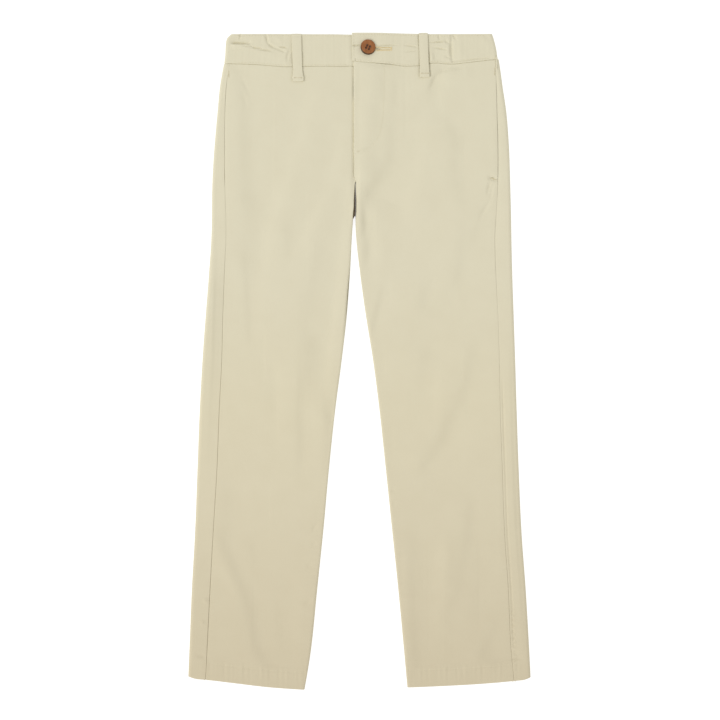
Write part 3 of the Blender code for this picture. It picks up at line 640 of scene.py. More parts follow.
def grid_object(name, points, normal, material, wall=0.0, closed_rows=False):
    """A mesh through a grid of points, its faces turned to the normals, thickened inwards."""
    rows, columns = points.shape[:2]
    index = np.arange(rows * columns).reshape(rows, columns)
    if closed_rows:
        index = np.concatenate([index, index[:1]])
    corners = [index[:-1, :-1], index[:-1, 1:], index[1:, 1:], index[1:, :-1]]
    quads = np.stack(corners, axis=-1).reshape(-1, 4)
    flat = points.reshape(-1, 3)
    a, b, c = flat[quads[:, 0]], flat[quads[:, 1]], flat[quads[:, 3]]
    faces_out = (np.cross(b - a, c - a) * normal.reshape(-1, 3)[quads[:, 0]]).sum() > 0
    if not faces_out:
        quads = quads[:, ::-1]
    polygons = quads.tolist()
    if closed_rows:
        ends = [index[:-1, 0].tolist(), index[:-1, -1].tolist()[::-1]]
        polygons += ends if faces_out else [end[::-1] for end in ends]
    mesh = bpy.data.meshes.new(name)
    mesh.from_pydata(flat.tolist(), [], polygons)
    piece = linked(name, mesh, material)
    if wall:
        thicken = piece.modifiers.new("wall", "SOLIDIFY")
        thicken.thickness = wall * MM
        thicken.offset = -1
    return piece


def panel_object(name, base, down, material, columns, up=1, inside=0.0):
    """A sheet of cloth whose outer face is base(down), sunk by inside."""
    here = base(down)
    normal = outward(here, base(down + 0.4) - base(down - 0.4), columns, up)
    return grid_object(name, here - normal * inside * MM, normal, material, CLOTH)


def ring_faces(rings, sides):
    """The faces between the rings of a tube, and its two ends."""
    faces = []
    for ring in range(rings - 1):
        for k in range(sides):
            a, b = ring * sides + k, ring * sides + (k + 1) % sides
            faces.append((a, b, b + sides, a + sides))
    last = (rings - 1) * sides
    return [*faces, tuple(range(sides))[::-1], tuple(range(last, last + sides))]


def tube(path, radius, sides):
    """Vertices and faces of a closed round tube along a path, in millimetres."""
    path = np.array(path, float)
    ways = np.gradient(path, axis=0)
    ways /= np.linalg.norm(ways, axis=1, keepdims=True)
    guide = UP if abs(ways[0, 2]) < 0.9 else ACROSS
    turn = 2 * np.pi * np.arange(sides)[:, None] / sides
    rings = []
    for point, way in zip(path, ways):
        one = np.cross(way, guide)
        one /= np.linalg.norm(one) + 1e-9
        other = np.cross(way, one)
        guide = np.cross(one, way)
        rings.append(point + radius * (np.cos(turn) * one + np.sin(turn) * other))
    return np.concatenate(rings), ring_faces(len(path), sides)


def joined(name, shapes, material=None):
    """One object of several (vertices, faces)."""
    vertices, faces, base = [], [], 0
    for points, polygons in shapes:
        vertices.append(points)
        faces += [tuple(base + i for i in p) for p in polygons]
        base += len(points)
    mesh = bpy.data.meshes.new(name)
    mesh.from_pydata((np.concatenate(vertices) * MM).tolist(), [], faces)
    return linked(name, mesh, material)


# Panels


def slanted(side, out, down, behind=0.0):
    """How far down a panel's point lies once its ends follow the waistband and the hem."""
    seam = waist_seam(side, out, behind) + WAIST_GAP
    at_waist = (seam - WAIST) * (1 - smoothstep(down, WAIST, WAIST + 30))
    at_hem = (level(HEM_LINE[side], out) - HEM) * smoothstep(down, HEM - 160, HEM)
    return down + at_waist + at_hem


def panel_rows(spacing):
    """(how far down, how far in from the outer face) for each row of a panel, from under the
    waistband to the hem, round its fold and up inside."""
    fold = HEM - TURN_UP
    tucked = WAIST + np.array([-TUCK_REACH, -2, -1.2, -0.7, -0.3, 0.1, 0.5, 0.9, 1.4, 2.1])
    body = np.arange(WAIST + 3, HEM_STITCH - 6, spacing)
    hem = np.arange(body[-1] + spacing, fold - 0.6, 1.5)
    down = np.concatenate([tucked, body, hem, [fold]])
    tuck = TUCK * (1 - smoothstep(down, WAIST - 1, WAIST + 0.5))
    turn = np.radians([30, 60, 90, 120, 150, 180])
    inner_rows = np.array([4, 9, 14, 19])
    down = np.concatenate([down, fold + TURN_UP * np.sin(turn), fold - inner_rows])
    turned = [TURN_UP * (1 - np.cos(turn)), np.full(len(inner_rows), 2 * TURN_UP)]
    return down[:, None], np.concatenate([tuck, *turned])[:, None, None]


def quarter_turn(columns):
    """Angles from nearly flat to upright for an edge's columns, the last of them twice."""
    return np.minimum(np.arange(1, columns + 1), columns - 1) / (columns - 1) * np.pi / 2


def inseam_roll(down):
    """How far in the inner edge's rounding reaches: less where the two panels still meet."""
    return 0.7 + (INSEAM_ROLL - 0.7) * smoothstep(down, CROTCH + 20, CROTCH + 130)


def inner_edge(side, down):
    """The panel's inner edge, a little outside the CAD's below the crotch, closer in the slit."""
    closer, fades, closed = {"right": (1.0, 16, 0), "left": (1.2, 32, 6)}[side]
    slit = between(down, FLY_END, FLY_END + 12, CROTCH - fades, CROTCH - closed)
    closer = closer + 0.8 * (1 - smoothstep(down, FLY_END + 12, FLY_END + 32))
    below = smoothstep(down, CROTCH - 4, CROTCH + 4)
    return outline(side, "inner", down) - closer * slit - PUFF_OUT[side][0] * below


def front_panel(side, material):
    roll = 9  # columns round the inner edge
    down, inside = panel_rows(FRONT_ROWS)
    # closed along the fly, the right front reaches under the left one
    if side == "right":
        reach, parts_from = UNDERLAP + 0.3, (FLY_END - 2, FLY_END + 12)
    else:
        reach, parts_from = outline("left", "inner", WAIST), (FLY_END, FLY_END + 10)
    near_seam = np.array([*EDGE_AT, 1.3, 2.1, 3.1, 4.3, 5.6, 7, 8.5, 10.1])
    steps = np.arange(1, roll + 1) / roll
    turn = quarter_turn(roll)
    inward = 1 - np.sin(turn)

    def base(down):
        seam = outline(side, "seam", down) - BUTT - MOUTH_GAPE[side] * mouth(down)
        if side == "right":
            peek = 1.3 * bell(down, 306, 40)
        else:
            peek = 0.45 * between(down, 134, 146, FLY_END - 4, FLY_END + 8)
        closed = 1 - smoothstep(down, *parts_from)
        inner = inner_edge(side, down) - reach * closed + peek
        roll_width = inseam_roll(down)
        flat_end = inner + roll_width
        seam_side = seam - near_seam
        middle = np.linspace(0, 1, 94)[1:]
        middle = seam_side[:, -1:] + (flat_end - seam_side[:, -1:]) * middle
        turned = smoothstep(down, FLY_END - 4, FLY_END + 16)
        straight = flat_end - roll_width * steps
        hollow = SLIT_HOLLOW * between(down, FLY_END, FLY_END + 12, CROTCH - 10, CROTCH - 3)
        rolled = inner + roll_width * inward + hollow * smoothstep(1 - np.cos(turn), 0.2, 0.9)
        inseam = straight + turned * (rolled - straight)
        out = np.concatenate([seam_side, middle, inseam], axis=1)
        height = panel_height(side, out, down) + 0.2 * mouth(down) * bell(out, seam, 6)
        if side == "right":  # its rim stands up along the slit
            rim = bell(np.maximum(out - inner, 0.8), 0.8, 2.2)
            height = height + 1.5 * bell(down, 203, 13) * rim
        height[:, : len(EDGE_DROP)] -= np.array(EDGE_DROP) * on_curve(down, *DITCH[side])
        below_slit = FOLD_HEIGHT / 2 + BUTT
        foot = SLIT_FOOT + (below_slit - SLIT_FOOT) * smoothstep(down, CROTCH - 8, CROTCH + 14)
        top = height[:, -roll:]
        upright = foot + 0.3
        lowered = upright + (top - upright) * np.cos(turn)
        lowered[:, -1:] = foot
        fold = top
        if side == "left":  # the fly's edge is a fold, which rounds down to the right front
            fold = top - on_curve(down, *FLY_RIM) * bell(roll_width * (1 - steps), 0, 0.55)
        height[:, -roll:] = fold + turned * (lowered - fold)
        return to_frame(side, out, slanted(side, out, down), height)

    columns = slice(20, 90)
    return panel_object(f"front_{side}_cloth", base, down, material, columns, 1, inside)


def back_panel(side, material):
    curl, flat, fold, strip = 8, 46, 12, 17  # columns of each stretch of a row
    down, inside = panel_rows(BACK_ROWS)
    half = FOLD_HEIGHT / 2
    centre_back = SIGN[side] * CENTRE_BACK + 0.1

    def base(down):
        parted = smoothstep(down, CROTCH - 2.5, CROTCH + 2)
        inner = centre_back + parted * (inner_edge(side, down) - centre_back)
        outer = outline(side, "outer", down) + PUFF_OUT[side][1]
        seam = outline(side, "seam", down) + BUTT + MOUTH_GAPE[side] * mouth(down)
        puff = PUFF_HEIGHT[side] * on_curve(down, *PUFF[side])
        half_here = half + puff / 2
        roll = np.minimum(SIDE_ROLL, 0.8 * (outer - seam))
        flat_start, flat_end = inner + INSEAM_ROLL, outer - roll
        # the edge that curls up to the inseam, or meets the other back panel
        edge_height = half - BUTT - 0.3 * (1 - smoothstep(down, CROTCH + 16, CROTCH + 60))
        turn = quarter_turn(curl)[::-1]
        straight = np.arange(curl) / curl
        raised = (edge_height - 0.3) * (1 - np.cos(turn))
        raised[:, :1] = edge_height
        curled = straight + parted * (1 - np.sin(turn) - straight)
        curl_out = inner + INSEAM_ROLL * curled
        joined_height = 0.9 * bell(straight * INSEAM_ROLL, 0, 0.5)
        curl_height = joined_height + parted * (raised - joined_height)
        # the part that lies on the surface
        flat_out = flat_start + (flat_end - flat_start) * np.arange(flat + 1) / flat
        lift = fold_height(BACK_FOLDS, flat_out, down)
        lift *= smoothstep(flat_out - flat_start, 0, 14) * smoothstep(flat_end - flat_out, 0, 14)
        lift *= between(down, WAIST + 14, WAIST + 34, HEM - 46, HEM - 24)
        # round the outer edge
        turn = np.pi * (np.arange(1, fold + 1) / fold - 0.5)
        fold_out = flat_end + roll * np.cos(turn)
        round_height = half_here + half_here * np.sin(turn)
        # the strip up to the side seam
        to_seam = np.arange(1, strip) / strip
        near_seam = seam + np.array([1.3, *EDGE_AT[::-1]])
        strip_out = flat_end + (seam + 1.6 - flat_end) * to_seam
        strip_out = np.concatenate([strip_out, near_seam], axis=1)
        across = strip_out - seam
        top = panel_height(side, strip_out, down)
        if side == "left":  # the seam allowance makes a low ridge beside the seam
            top = top + 0.1 * bell(across, 1.8, 1) * smoothstep(down, 190, 230)
        beside = (flat_end - strip_out) / np.maximum(flat_end - seam, 0.1)
        strip_height = FOLD_HEIGHT + (top - FOLD_HEIGHT) * smoothstep(beside, 0, 1)
        if side == "right":
            full = 0.5 * np.clip(across / 8, 0, 1) + 0.5 * smoothstep(across, 7.6, 13)
        else:
            full = 1 - smoothstep(flat_end - strip_out, 0, 5)
        strip_height = strip_height + puff * full
        ditch = on_curve(down, *DITCH[side])
        strip_height[:, -len(EDGE_DROP) :] -= np.array(EDGE_DROP[::-1]) * ditch
        out = np.concatenate([curl_out, flat_out, fold_out, strip_out], axis=1)
        height = np.concatenate([curl_height, lift, round_height, strip_height], axis=1)
        on_surface = np.arange(out.shape[1]) <= curl + flat
        behind = smoothstep(flat_end - out, 0, 25) * on_surface
        return to_frame(side, out, slanted(side, out, down, behind), height)

    columns = slice(curl, curl + flat)
    return panel_object(f"back_{side}_cloth", base, down, material, columns, -1, inside)


def pocket_facing(side, material):
    """The strip of cloth behind a pocket mouth."""
    down = np.linspace(MOUTH_TOP - 6, MOUTH_END + 6, 70)[:, None]
    across = np.linspace(0, 1, 24)

    def base(down):
        seam, outer = outline(side, "seam", down), outline(side, "outer", down)
        start = seam + np.minimum(5, 0.35 * (outer - seam))
        out = start + (seam - 16 - start) * across
        height = np.maximum(panel_height(side, out, down) - CLOTH - FACING_GAP, FACING_LOW)
        return to_frame(side, out, down, height)

    return panel_object(f"pocket_facing_{side}_cloth", base, down, material, slice(None))


# Waistband and belt loops


def band_section(rows, inner_rows, half):
    """Round the band's section: (share of its height, how far from an edge, depth) from the top
    of the outer face down, round the lower edge, up inside and round the upper edge."""
    turn = np.radians([25, 55, 90, 125, 155])
    stations = [(share, 0, 0) for share in np.linspace(0, 1, rows)]
    stations += [(1, half * math.sin(t), half * (1 - math.cos(t))) for t in turn]
    stations += [(share, 0, 2 * half) for share in np.linspace(1, 0, inner_rows)]
    stations += [(0, -half * math.sin(t), half * (1 + math.cos(t))) for t in turn]
    return np.array(stations)


def band(side, material):
    front, fold, back, ends = 250, 12, 60, 4  # columns of each stretch, and of a rounded end
    start = -TAB_UNDERLAP if side == "right" else -1.9
    centre_back = SIGN[side] * CENTRE_BACK + 0.1
    half_height, half_wall = FOLD_HEIGHT / 2, BAND / 2
    side_out, side_down = zip(*BAND_SIDE[side])
    column = np.arange(front + fold + back + 1)
    round_to = (column - front) / fold
    turn_in = np.radians([78, 58, 38, 19])
    at_end = half_wall * (1 - np.sin(turn_in))
    thin = np.ones(len(column))  # how thick the band is, less at its two ends
    thin[:ends] = np.cos(turn_in)
    thin[-ends:] = np.cos(turn_in[::-1])

    def base(share, past):
        """The outer face's points at a share of the band's height."""
        edge_down = side_down[0] + (side_down[-1] - side_down[0]) * share
        flat_end = on_curve(edge_down, side_down, side_out) - SIDE_ROLL
        first, last = start + half_wall, centre_back + half_wall
        front_end = np.broadcast_to(start + at_end, (len(share), ends))
        front_out = first + (flat_end - first) * np.linspace(0, 1, front + 1 - ends)
        turn = np.arange(1, fold + 1) / fold
        fold_out = flat_end + SIDE_ROLL * np.sin(np.pi * turn)
        back_out = flat_end + (last - flat_end) * np.linspace(0, 1, back + 1 - ends)[1:]
        back_end = np.broadcast_to(centre_back + at_end[::-1], (len(share), ends))
        out = np.concatenate([front_end, front_out, fold_out, back_out, back_end], axis=1)
        behind = np.where(round_to >= 1, smoothstep(flat_end - out, 0, 25), 0.0)
        upper, lower = level(BAND_EDGE[side], out), waist_seam(side, out, behind)
        upper = upper + behind * (BACK_EDGE - upper)
        down = upper + half_wall + (lower - upper - 2 * half_wall) * share + past
        top = band_height(side, out, down)
        top = top + (FOLD_HEIGHT - top) * smoothstep(out, flat_end - 8, flat_end)
        turned = half_height + half_height * np.cos(np.pi * np.clip(round_to, 0, 1))
        return to_frame(side, out, down, np.where(round_to <= 0, top, turned))

    section = band_section(84, 8, half_wall)
    share, past, depth = section[:, :1], section[:, 1:2], section[:, 2:]
    here, along = base(share, past), base(share, past + 0.3) - base(share, past - 0.3)
    normal = outward(here, along, slice(20, 100), rows=slice(40))
    sunk = half_wall + (depth - half_wall) * thin
    points = here - normal * sunk[..., None] * MM
    face = normal * np.where(depth > half_wall, -1, 1)[..., None]
    return grid_object(f"waistband_{side}_cloth", points, face, material, closed_rows=True)


def belt_loop(side, material):
    """A flat strap, its ends held down: the top one at the waistband's edge, the other one
    folded under and tacked below the seam."""
    loop = BELT_LOOPS[side]
    start, foot = level(BAND_EDGE[side], loop.out), loop.foot_down
    length = foot - start
    path = [(start + at, rise) for at, rise in LOOP_START[side]]
    path += [(start + length * 0.5, 1.1), (start + length * 0.75, 1.0)]
    path += [(foot + at, rise) for at, rise in LOOP_FOOT]
    points, under_from = 130, 117  # along the strap, and where its end is folded under
    down, rise = curve(path, points).T
    share = np.clip((down - start) / length, 0, 1)
    middle = loop.out + (loop.foot_out - loop.out) * share
    width = on_curve(share, *LOOP_WIDTHS[side]) - 0.8 * (np.arange(points) >= under_from)
    ground_down = np.maximum(down, start + 1)
    places = [middle + k * width for k in (-0.5, 0, 0.5)]
    ground = np.max([surface_height(side, out, ground_down) for out in places], axis=0)
    ground = np.convolve(np.pad(ground, 6, mode="edge"), np.ones(13) / 13, "valid")
    # the section: flat faces with round sides, as (share across, past the face's end, height)
    faces = np.linspace(-1, 1, 9)
    turn = np.radians(np.linspace(-60, 60, 5))
    section = [(s, 0, 1) for s in faces]
    section += [(1, math.cos(t) * LOOP_HALF, -math.sin(t)) for t in turn]
    section += [(s, 0, -1) for s in faces[::-1]]
    section += [(-1, -math.cos(t) * LOOP_HALF, math.sin(t)) for t in turn]
    at, past, side_height = np.array(section).T
    centre = np.stack([down, ground + rise], axis=1)
    along = np.gradient(centre, axis=0)
    along /= np.linalg.norm(along, axis=1, keepdims=True)
    up_down, up_height = -along[:, 1:], along[:, :1]  # away from the ground, on the upper layer
    out = middle[:, None] + at * (width / 2 - LOOP_HALF)[:, None] + past
    crown = 0.12 * (1 - at**2)
    selvedge = 0.12 * bell(np.abs(at), 0.78, 0.1) * (side_height > 0)
    lift = side_height * LOOP_HALF + crown - selvedge
    down, height = centre[:, :1] + up_down * lift, centre[:, 1:] + up_height * lift
    points = to_frame(side, out, down, height).transpose(1, 0, 2)
    inner = to_frame(side, middle[:, None], centre[:, :1], centre[:, 1:]).transpose(1, 0, 2)
    name = f"belt_loop_{side}_cloth"
    return grid_object(name, points, points - inner, material, closed_rows=True)


# Button


def seated(piece):
    """Puts a piece made round the origin on the waistband's tab, tipped as the button is."""
    x, y, _ = to_frame("left", BUTTON_OUT, BUTTON_DOWN, 0)
    height = band_height("left", BUTTON_OUT, BUTTON_DOWN) + BUTTON_LIFT
    piece.location = (x, y, height * MM)
    piece.rotation_euler = BUTTON_TILT
    return piece


def hole_places():
    half = HOLE_SPACING / 2
    c, s = math.cos(HOLE_TURN) * half, math.sin(HOLE_TURN) * half
    corners = ((-1, -1), (1, -1), (1, 1), (-1, 1))
    return np.array([(a * c - b * s, a * s + b * c) for a, b in corners])


def button(material):
    """Turned on a lathe: a broad rounded rim round a dished middle with four holes."""
    rows = [(max(r * BUTTON_RADIUS, 0.001), 0, BUTTON_THICK - h) for r, h in BUTTON_PROFILE]
    mesh = bpy.data.meshes.new("button_disc")
    edges = [(i, i + 1) for i in range(len(rows) - 1)]
    mesh.from_pydata((np.array(rows) * MM).tolist(), edges, [])
    piece = linked("button_disc", mesh, material)
    turn = piece.modifiers.new("turned", "SCREW")
    turn.steps = turn.render_steps = 96
    turn.use_merge_vertices = True
    turn.merge_threshold = 0.00001
    for number, (x, y) in enumerate(hole_places()):
        cutter = joined(f"hole_{number}", [tube([(x, y, -1), (x, y, 5)], HOLE_RADIUS, 24)])
        cutter.hide_render = cutter.hide_viewport = True
        cutter.parent = piece
        cut = piece.modifiers.new("hole", "BOOLEAN")
        cut.operation, cut.object = "DIFFERENCE", cutter
    return seated(piece)


def button_thread(material):
    """Strands through the four holes, in two bars side by side, and a wound shank under it."""
    dish = BUTTON_THICK - 1
    over = dish + 0.34
    half_line = [(0, -SHANK), (0, dish - 0.3), (0.06, over - 0.12), (0.2, over)]
    line = [*half_line, (0.5, over + 0.1), *((1 - t, up) for t, up in half_line[::-1])]
    shapes = []
    holes = hole_places()
    for start, end in ((holes[0], holes[3]), (holes[1], holes[2])):
        way = (end - start) / np.linalg.norm(end - start)
        for strand in (-1, 0, 1):
            aside = np.array([-way[1], way[0]]) * strand * STRANDS_APART
            path = []
            for t, up in line:
                bunched = 0.6 + 0.4 * math.sin(math.pi * t)
                path.append((*(start + (end - start) * t + aside * bunched), up))
            shapes.append(tube(curve(path, 33), STRAND, 8))
    wound, turns = np.linspace(0, 1, 120), 6
    turn = wound * 2 * np.pi * turns
    coil = np.stack([np.cos(turn), np.sin(turn), -0.05 - SHANK * wound], axis=1)
    shapes.append(tube(coil, 1.2 * STRAND, 6))
    return seated(joined("button_strands", shapes, material))


# Stitches


def surface_point(side, out, down, kind):
    """A point of the outer face: on a front or a back's strip ("panel"), or on the waistband
    ("band", where down counts from the waistband's own top)."""
    if kind == "band":
        return to_frame(side, out, down, band_height(side, out, down)) / MM
    height = panel_height(side, out, down)
    return to_frame(side, out, slanted(side, out, down), height) / MM


def stitch(middle, way, up, length, radius=THREAD):
    """A short thread lying on the cloth, its ends going down into it."""
    at = np.array([-0.5, -0.42, -0.2, 0.2, 0.42, 0.5])[:, None, None] * length
    rise = np.array([-1.6, -0.5, 0.25, 0.25, -0.5, -1.6])[:, None, None] * radius
    swell = np.array([0.7, 0.95, 1, 1, 0.95, 0.7])[:, None, None] * radius
    sides = 6
    turn = 2 * np.pi * np.arange(sides)[:, None] / sides
    ring = np.cos(turn) * np.cross(way, up) + np.sin(turn) * up
    points = middle + at * way + rise * up + swell * ring
    return points.reshape(-1, 3), ring_faces(len(at), sides)


def stitch_line(side, path, kind, length=2.5, gap=0.8):
    """Stitches along a path of (out, down)."""
    out, down = curve(path, max(200, 40 * len(path))).T  # fine enough to measure along
    points = surface_point(side, out, down, kind)
    ran = np.concatenate([[0], np.cumsum(np.linalg.norm(np.diff(points, axis=0), axis=1))])
    shapes = []
    for at in np.arange(length / 2, ran[-1] - length / 2, length + gap):
        places = (at - length / 2, at, at + length / 2)
        a, middle, b = np.stack([np.interp(places, ran, column) for column in points.T], axis=1)
        way = (b - a) / np.linalg.norm(b - a)
        up = UP - way * (UP @ way)
        shapes.append(stitch(middle, way, up / np.linalg.norm(up), length))
    return shapes


def tacks(middles, way, length, radius=THREAD):
    """A close row of short stitches, each along the same way."""
    return [stitch(middle, way, UP, length, radius) for middle in middles]


def shares(count):
    """The middles of count equal parts of 0 to 1."""
    return (np.arange(count) + 0.5) / count


def bartack(side, start, end):
    """A row of stitches across a line from start to end, on a panel."""
    a, b = (surface_point(side, *place, "panel") for place in (start, end))
    length = np.linalg.norm(b - a)
    count = max(3, int(length / (THREAD * 1.9)))
    return tacks(a + (b - a) * shares(count)[:, None], np.cross(UP, (b - a) / length), TACK)


def loop_tacks(side):
    """The bartack across a loop's foot."""
    loop = BELT_LOOPS[side]
    down = loop.foot_down - LOOP_TACK
    half = loop.width / 2 - 1.2
    ground = max(surface_height(side, loop.foot_out + k, down) for k in (-6, 0, 6))
    across = 2 * shares(int(2 * half / 0.42)) - 1
    height = ground + 1.18 + LOOP_HALF + 0.1 * (1 - across**2)
    return tacks(to_frame(side, loop.foot_out + half * across, down, height) / MM, ALONG, 1.7)


def buttonhole_stitches():
    """Close stitches square to the buttonhole, along both of its sides and round its end."""
    out = np.arange(BUTTONHOLE_FROM, BUTTONHOLE_TO + 0.2, 0.55)
    aside = BUTTONHOLE_WIDTH / 2 + 1.5 - 0.5 * smoothstep(out, 28, 34)
    shapes = []
    for row in (-aside, aside):
        middles = surface_point("left", out, BUTTONHOLE_DOWN + row, "band")
        shapes += tacks(middles + UP * 0.05, ALONG, 2.1, 0.26)
    down = np.arange(BUTTONHOLE_DOWN - 2.2, BUTTONHOLE_DOWN + 2.3, 0.5)
    middles = surface_point("left", BUTTONHOLE_TO + 1.2, down, "band")
    return shapes + tacks(middles + UP * 0.12, ACROSS, 2.2, 0.28)


def sewing():
    """(name, stitches) for each piece's thread."""
    made = []
    for side in SIDES:
        lines = ("seam", "inner", "outer")
        seam, inner, outer = (outline(side, line, HEM_STITCH) for line in lines)
        front = stitch_line(side, [(inner + 3, HEM_STITCH), (seam - 2.5, HEM_STITCH)], "panel")
        if side == "left":
            low = outline(side, "seam", 168)
            front += bartack(side, (low - 9.5, 167), (low - 0.8, 170))
        top = outline(side, "seam", MOUTH_TOP) - 1.4
        front += bartack(side, (top, MOUTH_TOP - 6), (top, MOUTH_TOP + 1))
        if side == "left":
            front += stitch_line(side, J_STITCH, "panel", 2.3, 0.7)
            front += bartack(side, (1.6, 138), (8.5, 135.6))
        hem = [(seam + 2.5, HEM_STITCH), (outer - SIDE_ROLL, HEM_STITCH)]
        places = np.linspace(*((0.4, 160) if side == "left" else (-27, 140)), 40)
        low_line = [(out, waist_seam(side, out) - 1.7) for out in places]
        top_line = [(out, level(BAND_EDGE[side], out) + 2) for out in places]
        edges = stitch_line(side, low_line, "band") + stitch_line(side, top_line, "band")
        if side == "left":
            high, low = level(BAND_EDGE[side], 2.4), waist_seam(side, 2.4)
            edges += stitch_line(side, [(0.4, high + 3.4), (0.4, low - 3.2)], "band")
        made.append((f"stitches_front_{side}", front))
        made.append((f"stitches_back_{side}", stitch_line(side, hem, "panel")))
        if side == "left":
            made.append(("stitches_buttonhole", buttonhole_stitches()))
        made.append((f"stitches_waistband_{side}", edges))
        made.append((f"stitches_belt_loop_{side}", loop_tacks(side)))
    return made


# Materials


def material_of(name):
    material = bpy.data.materials.new(name)
    material.use_nodes = True
    return material, material.node_tree


def fill(tree, node, inputs):
    """Sets a node's inputs, each to a value or by a link from another node's output."""
    for name, value in inputs.items():
        if isinstance(value, bpy.types.NodeSocket):
            tree.links.new(value, node.inputs[name])
        else:
            node.inputs[name].default_value = value


def principled(tree, inputs):
    fill(tree, tree.nodes["Principled BSDF"], inputs)


def add(tree, kind, output, inputs, **settings):
    """A new node's output."""
    node = tree.nodes.new(f"ShaderNode{kind}")
    for name, value in settings.items():
        setattr(node, name, value)
    fill(tree, node, inputs)
    return node.outputs[output]


def place_of(tree):
    return add(tree, "TexCoord", "Object", {})


def ranged(tree, value, start, end, low=0, high=1, **settings):
    """A value's output once its range from start to end is stretched from low to high."""
    inputs = {"Value": value, "From Min": start, "From Max": end, "To Min": low, "To Max": high}
    return add(tree, "MapRange", "Result", inputs, **settings)


def ramp(tree, factor, stops):
    """A colour ramp's output, for stops of (position, colour)."""
    node = tree.nodes.new("ShaderNodeValToRGB")
    tree.links.new(factor, node.inputs["Fac"])
    elements = node.color_ramp.elements
    while len(elements) < len(stops):
        elements.new(0.5)
    for element, (position, colour) in zip(elements, stops):
        element.position = position
        element.color = (*colour, 1)
    return node.outputs["Color"]


def bump(tree, height, strength, distance):
    inputs = {"Height": height, "Strength": strength, "Distance": distance}
    return add(tree, "Bump", "Normal", inputs)


def mix(tree, factor, a, b, blend="MIX"):
    inputs = {"Factor": factor, "A": a, "B": b}
    return add(tree, "Mix", "Result", inputs, data_type="RGBA", blend_type=blend)


def vector(tree, operation, output, *inputs):
    return add(tree, "VectorMath", output, dict(enumerate(inputs)), operation=operation)


def twill(name):
    """Cotton twill: a steep diagonal weave, slightly uneven yarn, a colour that darkens a little
    towards the hems as painted light falloff, and painted shade in the crotch's slit."""
    material, tree = material_of(name)
    place = place_of(tree)
    low, high = PAINTED_FALLOFF_TONES[0][0], PAINTED_FALLOFF_TONES[-1][0]
    # painted light falloff: the colour darkens towards the hems
    up = ranged(tree, add(tree, "SeparateXYZ", "Y", {0: place}), low, high)
    painted_falloff_tone = ramp(tree, up, [((at - low) / (high - low), colour) for at, colour in PAINTED_FALLOFF_TONES])
    # uneven dye, in soft patches
    patches = add(tree, "TexNoise", "Fac", {"Vector": place, "Scale": 45, "Detail": 3})
    patches = ramp(tree, patches, [(0.3, (0.985, 0.982, 0.976)), (0.7, (1, 1, 1))])
    dyed = mix(tree, 1, painted_falloff_tone, patches, "MULTIPLY")
    # the weave: diagonal ribs, broken up along their length
    turned = {"Vector": place, "Rotation": (0, 0, math.radians(28))}
    turned = add(tree, "Mapping", "Vector", turned)
    ribs = {"Vector": turned, "Scale": 450, "Distortion": 0.6, "Detail Scale": 3}
    ribs = add(tree, "TexWave", "Fac", ribs)
    yarn = add(tree, "TexNoise", "Fac", {"Vector": place, "Scale": 1400, "Detail": 2})
    weave = add(tree, "Math", "Value", {0: yarn, 1: 0.5, 2: ribs}, operation="MULTIPLY_ADD")
    bright = ranged(tree, weave, 0.1, 1.3, 0.94, 1.03)
    woven = {0: dyed, "Scale": bright}
    woven = add(tree, "VectorMath", "Vector", woven, operation="SCALE")
    # painted shade: the cloth far down in the slit at the crotch is darkened and warmed in its
    # colour, in place of the shade inside the slit
    middle = (CENTRE_X * MM, (WAIST_Y - SLIT_MIDDLE) * MM, 0)
    scale = tuple(1 / half for half in SLIT_SHADE)
    shift = tuple(-at / half for at, half in zip(middle, SLIT_SHADE))
    slit_painted_shade = vector(tree, "MULTIPLY_ADD", "Vector", place, scale, shift)
    slit_painted_shade = vector(tree, "LENGTH", "Value", slit_painted_shade)
    slit_painted_shade = ranged(tree, slit_painted_shade, 0.8, 1, 1, 0, interpolation_type="SMOOTHSTEP")
    principled(tree, {
        # the base colour carries the slit's painted shade
        "Base Color": mix(tree, slit_painted_shade, woven, (0.3, 0.22, 0.12, 1), "MULTIPLY"),
        "Normal": bump(tree, weave, 0.35, 0.00012),
        "Roughness": 0.92,
        "Specular IOR Level": 0.25,
        "Sheen Weight": 0.04,
        "Sheen Roughness": 0.5,
        "Sheen Tint": (1, 0.97, 0.9, 1),
    })
    return material


def horn(name):
    """Brown horn: soft streaks, a painted shade round the edge, polished."""
    material, tree = material_of(name)
    place = place_of(tree)
    stretched = {"Vector": place, "Scale": (1, 0.35, 1), "Rotation": (0, 0, math.radians(35))}
    stretched = add(tree, "Mapping", "Vector", stretched)
    streaks = {"Vector": stretched, "Scale": 420, "Detail": 5, "Distortion": 0.8}
    streaks = add(tree, "TexNoise", "Fac", streaks)
    brown = ramp(tree, streaks, [(0.3, (0.252, 0.086, 0.021)), (0.72, (0.35, 0.133, 0.041))])
    # painted shade round the rim, broader on the lower side, where the rim's underside and its
    # contact shadow fall
    flat = vector(tree, "MULTIPLY_ADD", "Vector", place, (1, 1, 0), (-0.0004, -0.0011, 0))
    rim = ranged(tree, vector(tree, "LENGTH", "Value", flat), 0.0083, 0.0091)
    principled(tree, {
        # the rim's dark colour is painted shade
        "Base Color": mix(tree, rim, brown, (0.055, 0.024, 0.006, 1)),
        "Normal": bump(tree, streaks, 0.15, 0.0001),
        "Roughness": 0.42,
        "Specular IOR Level": 0.3,
        "Coat Weight": 0.05,
        "Coat Roughness": 0.3,
    })
    return material


def thread(name, light, dark, sheen=0.2):
    """Twisted cotton thread."""
    material, tree = material_of(name)
    turned = {"Vector": place_of(tree), "Rotation": (0, math.radians(20), math.radians(40))}
    turned = add(tree, "Mapping", "Vector", turned)
    twist = add(tree, "TexWave", "Fac", {"Vector": turned, "Scale": 900, "Distortion": 1.5})
    principled(tree, {
        "Base Color": ramp(tree, twist, [(0, dark), (1, light)]),
        "Normal": bump(tree, twist, 0.4, 0.0001),
        "Roughness": 0.75,
        "Sheen Weight": sheen,
    })
    return material


# Stage


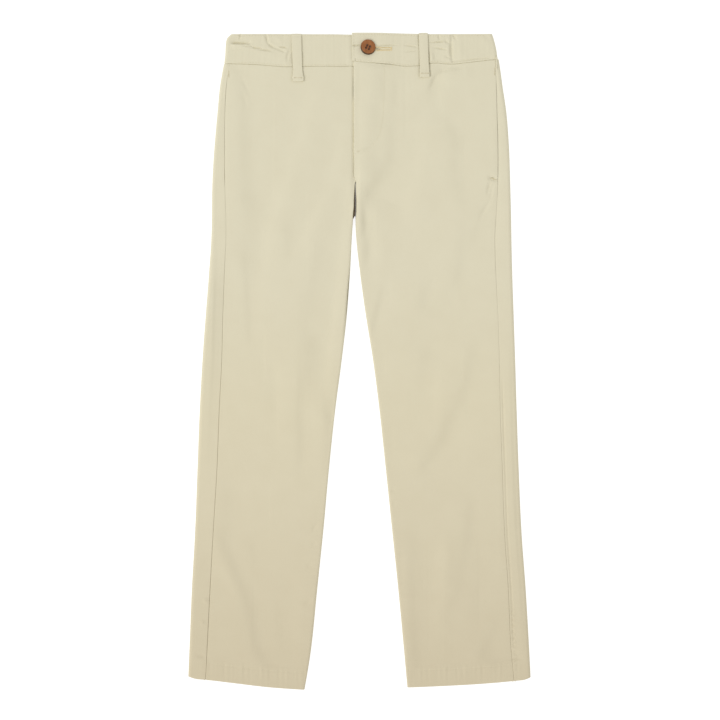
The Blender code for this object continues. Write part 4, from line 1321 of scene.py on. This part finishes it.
def floor_and_light():
    half, low = 20, -0.0003
    corners = [(-half, -half, low), (half, -half, low), (half, half, low), (-half, half, low)]
    mesh = bpy.data.meshes.new("floor")
    mesh.from_pydata(corners, [], [(0, 1, 2, 3)])
    material, tree = material_of("floor_white")
    principled(tree, {
        "Base Color": (0.35, 0.35, 0.35, 1),
        "Roughness": 0.9,
        "Specular IOR Level": 0.1,
        "Emission Color": (1, 1, 1, 1),
        "Emission Strength": 0.82,
    })
    mesh.materials.append(material)
    linked("floor", mesh)

    world = bpy.data.worlds.new("studio")
    world.use_nodes = True
    background = world.node_tree.nodes["Background"]
    fill(world.node_tree, background, {"Color": (1, 1, 1, 1), "Strength": 0.83})
    bpy.context.scene.world = world

    key = bpy.data.lights.new("key", "AREA")
    key.shape, key.size = "SQUARE", 4.2
    key.energy = 200
    lamp = linked("key", key)
    lamp.location = (-5.1, -1.9, 4.9)
    aim = Vector((0, 0.05, 0)) - lamp.location
    lamp.rotation_mode = "QUATERNION"
    lamp.rotation_quaternion = aim.to_track_quat("-Z", "Y")


def camera():
    """Straight above, far away with a long lens. width is the view's at the cloth's height."""
    height, width, cloth, middle, sensor = 6.0, 0.84384, 0.005, 0.001758, 36.0
    lens = bpy.data.cameras.new("camera")
    lens.sensor_width = sensor
    lens.lens = sensor * (height - cloth) / width
    lens.clip_start, lens.clip_end = 0.1, 50
    made = linked("camera", lens)
    made.location = (0, middle, height)
    bpy.context.scene.camera = made


def build():
    bpy.context.scene.view_settings.view_transform = "Standard"
    camera()
    floor_and_light()
    cloth = twill("cotton_twill")
    kinds = (
        (front_panel, "front", "twill"),
        (back_panel, "back", "twill"),
        (pocket_facing, "pocket_facing", "twill"),
        (band, "waistband", "band_twill"),
        (belt_loop, "belt_loop", "band_twill"),
    )
    made = []
    for side in SIDES:
        made += [(make(side, cloth), f"{node}_{side}", slot) for make, node, slot in kinds]
    made.append((button(horn("button_horn")), "button", "button_brown"))
    dark = thread("button_cotton", (0.165, 0.052, 0.022), (0.055, 0.018, 0.008), 0.05)
    made.append((button_thread(dark), "button_thread", "thread_dark"))
    for piece, node, slot in made:
        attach(piece, "root")
        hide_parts(node)
    ecru = thread("stitch_cotton", (0.76, 0.70, 0.50), (0.60, 0.54, 0.38))
    straw = thread("buttonhole_cotton", (0.82, 0.70, 0.43), (0.70, 0.59, 0.35))
    sewn = {}
    for name, shapes in sewing():
        sewn[name] = piece = joined(name, shapes, straw if name == "stitches_buttonhole" else ecru)
        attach(piece, "root")
    cloths = {node: piece for piece, node, _ in made}
    for node, (flat, area, under) in CUTS.items():
        piece = cloths[node]


build()
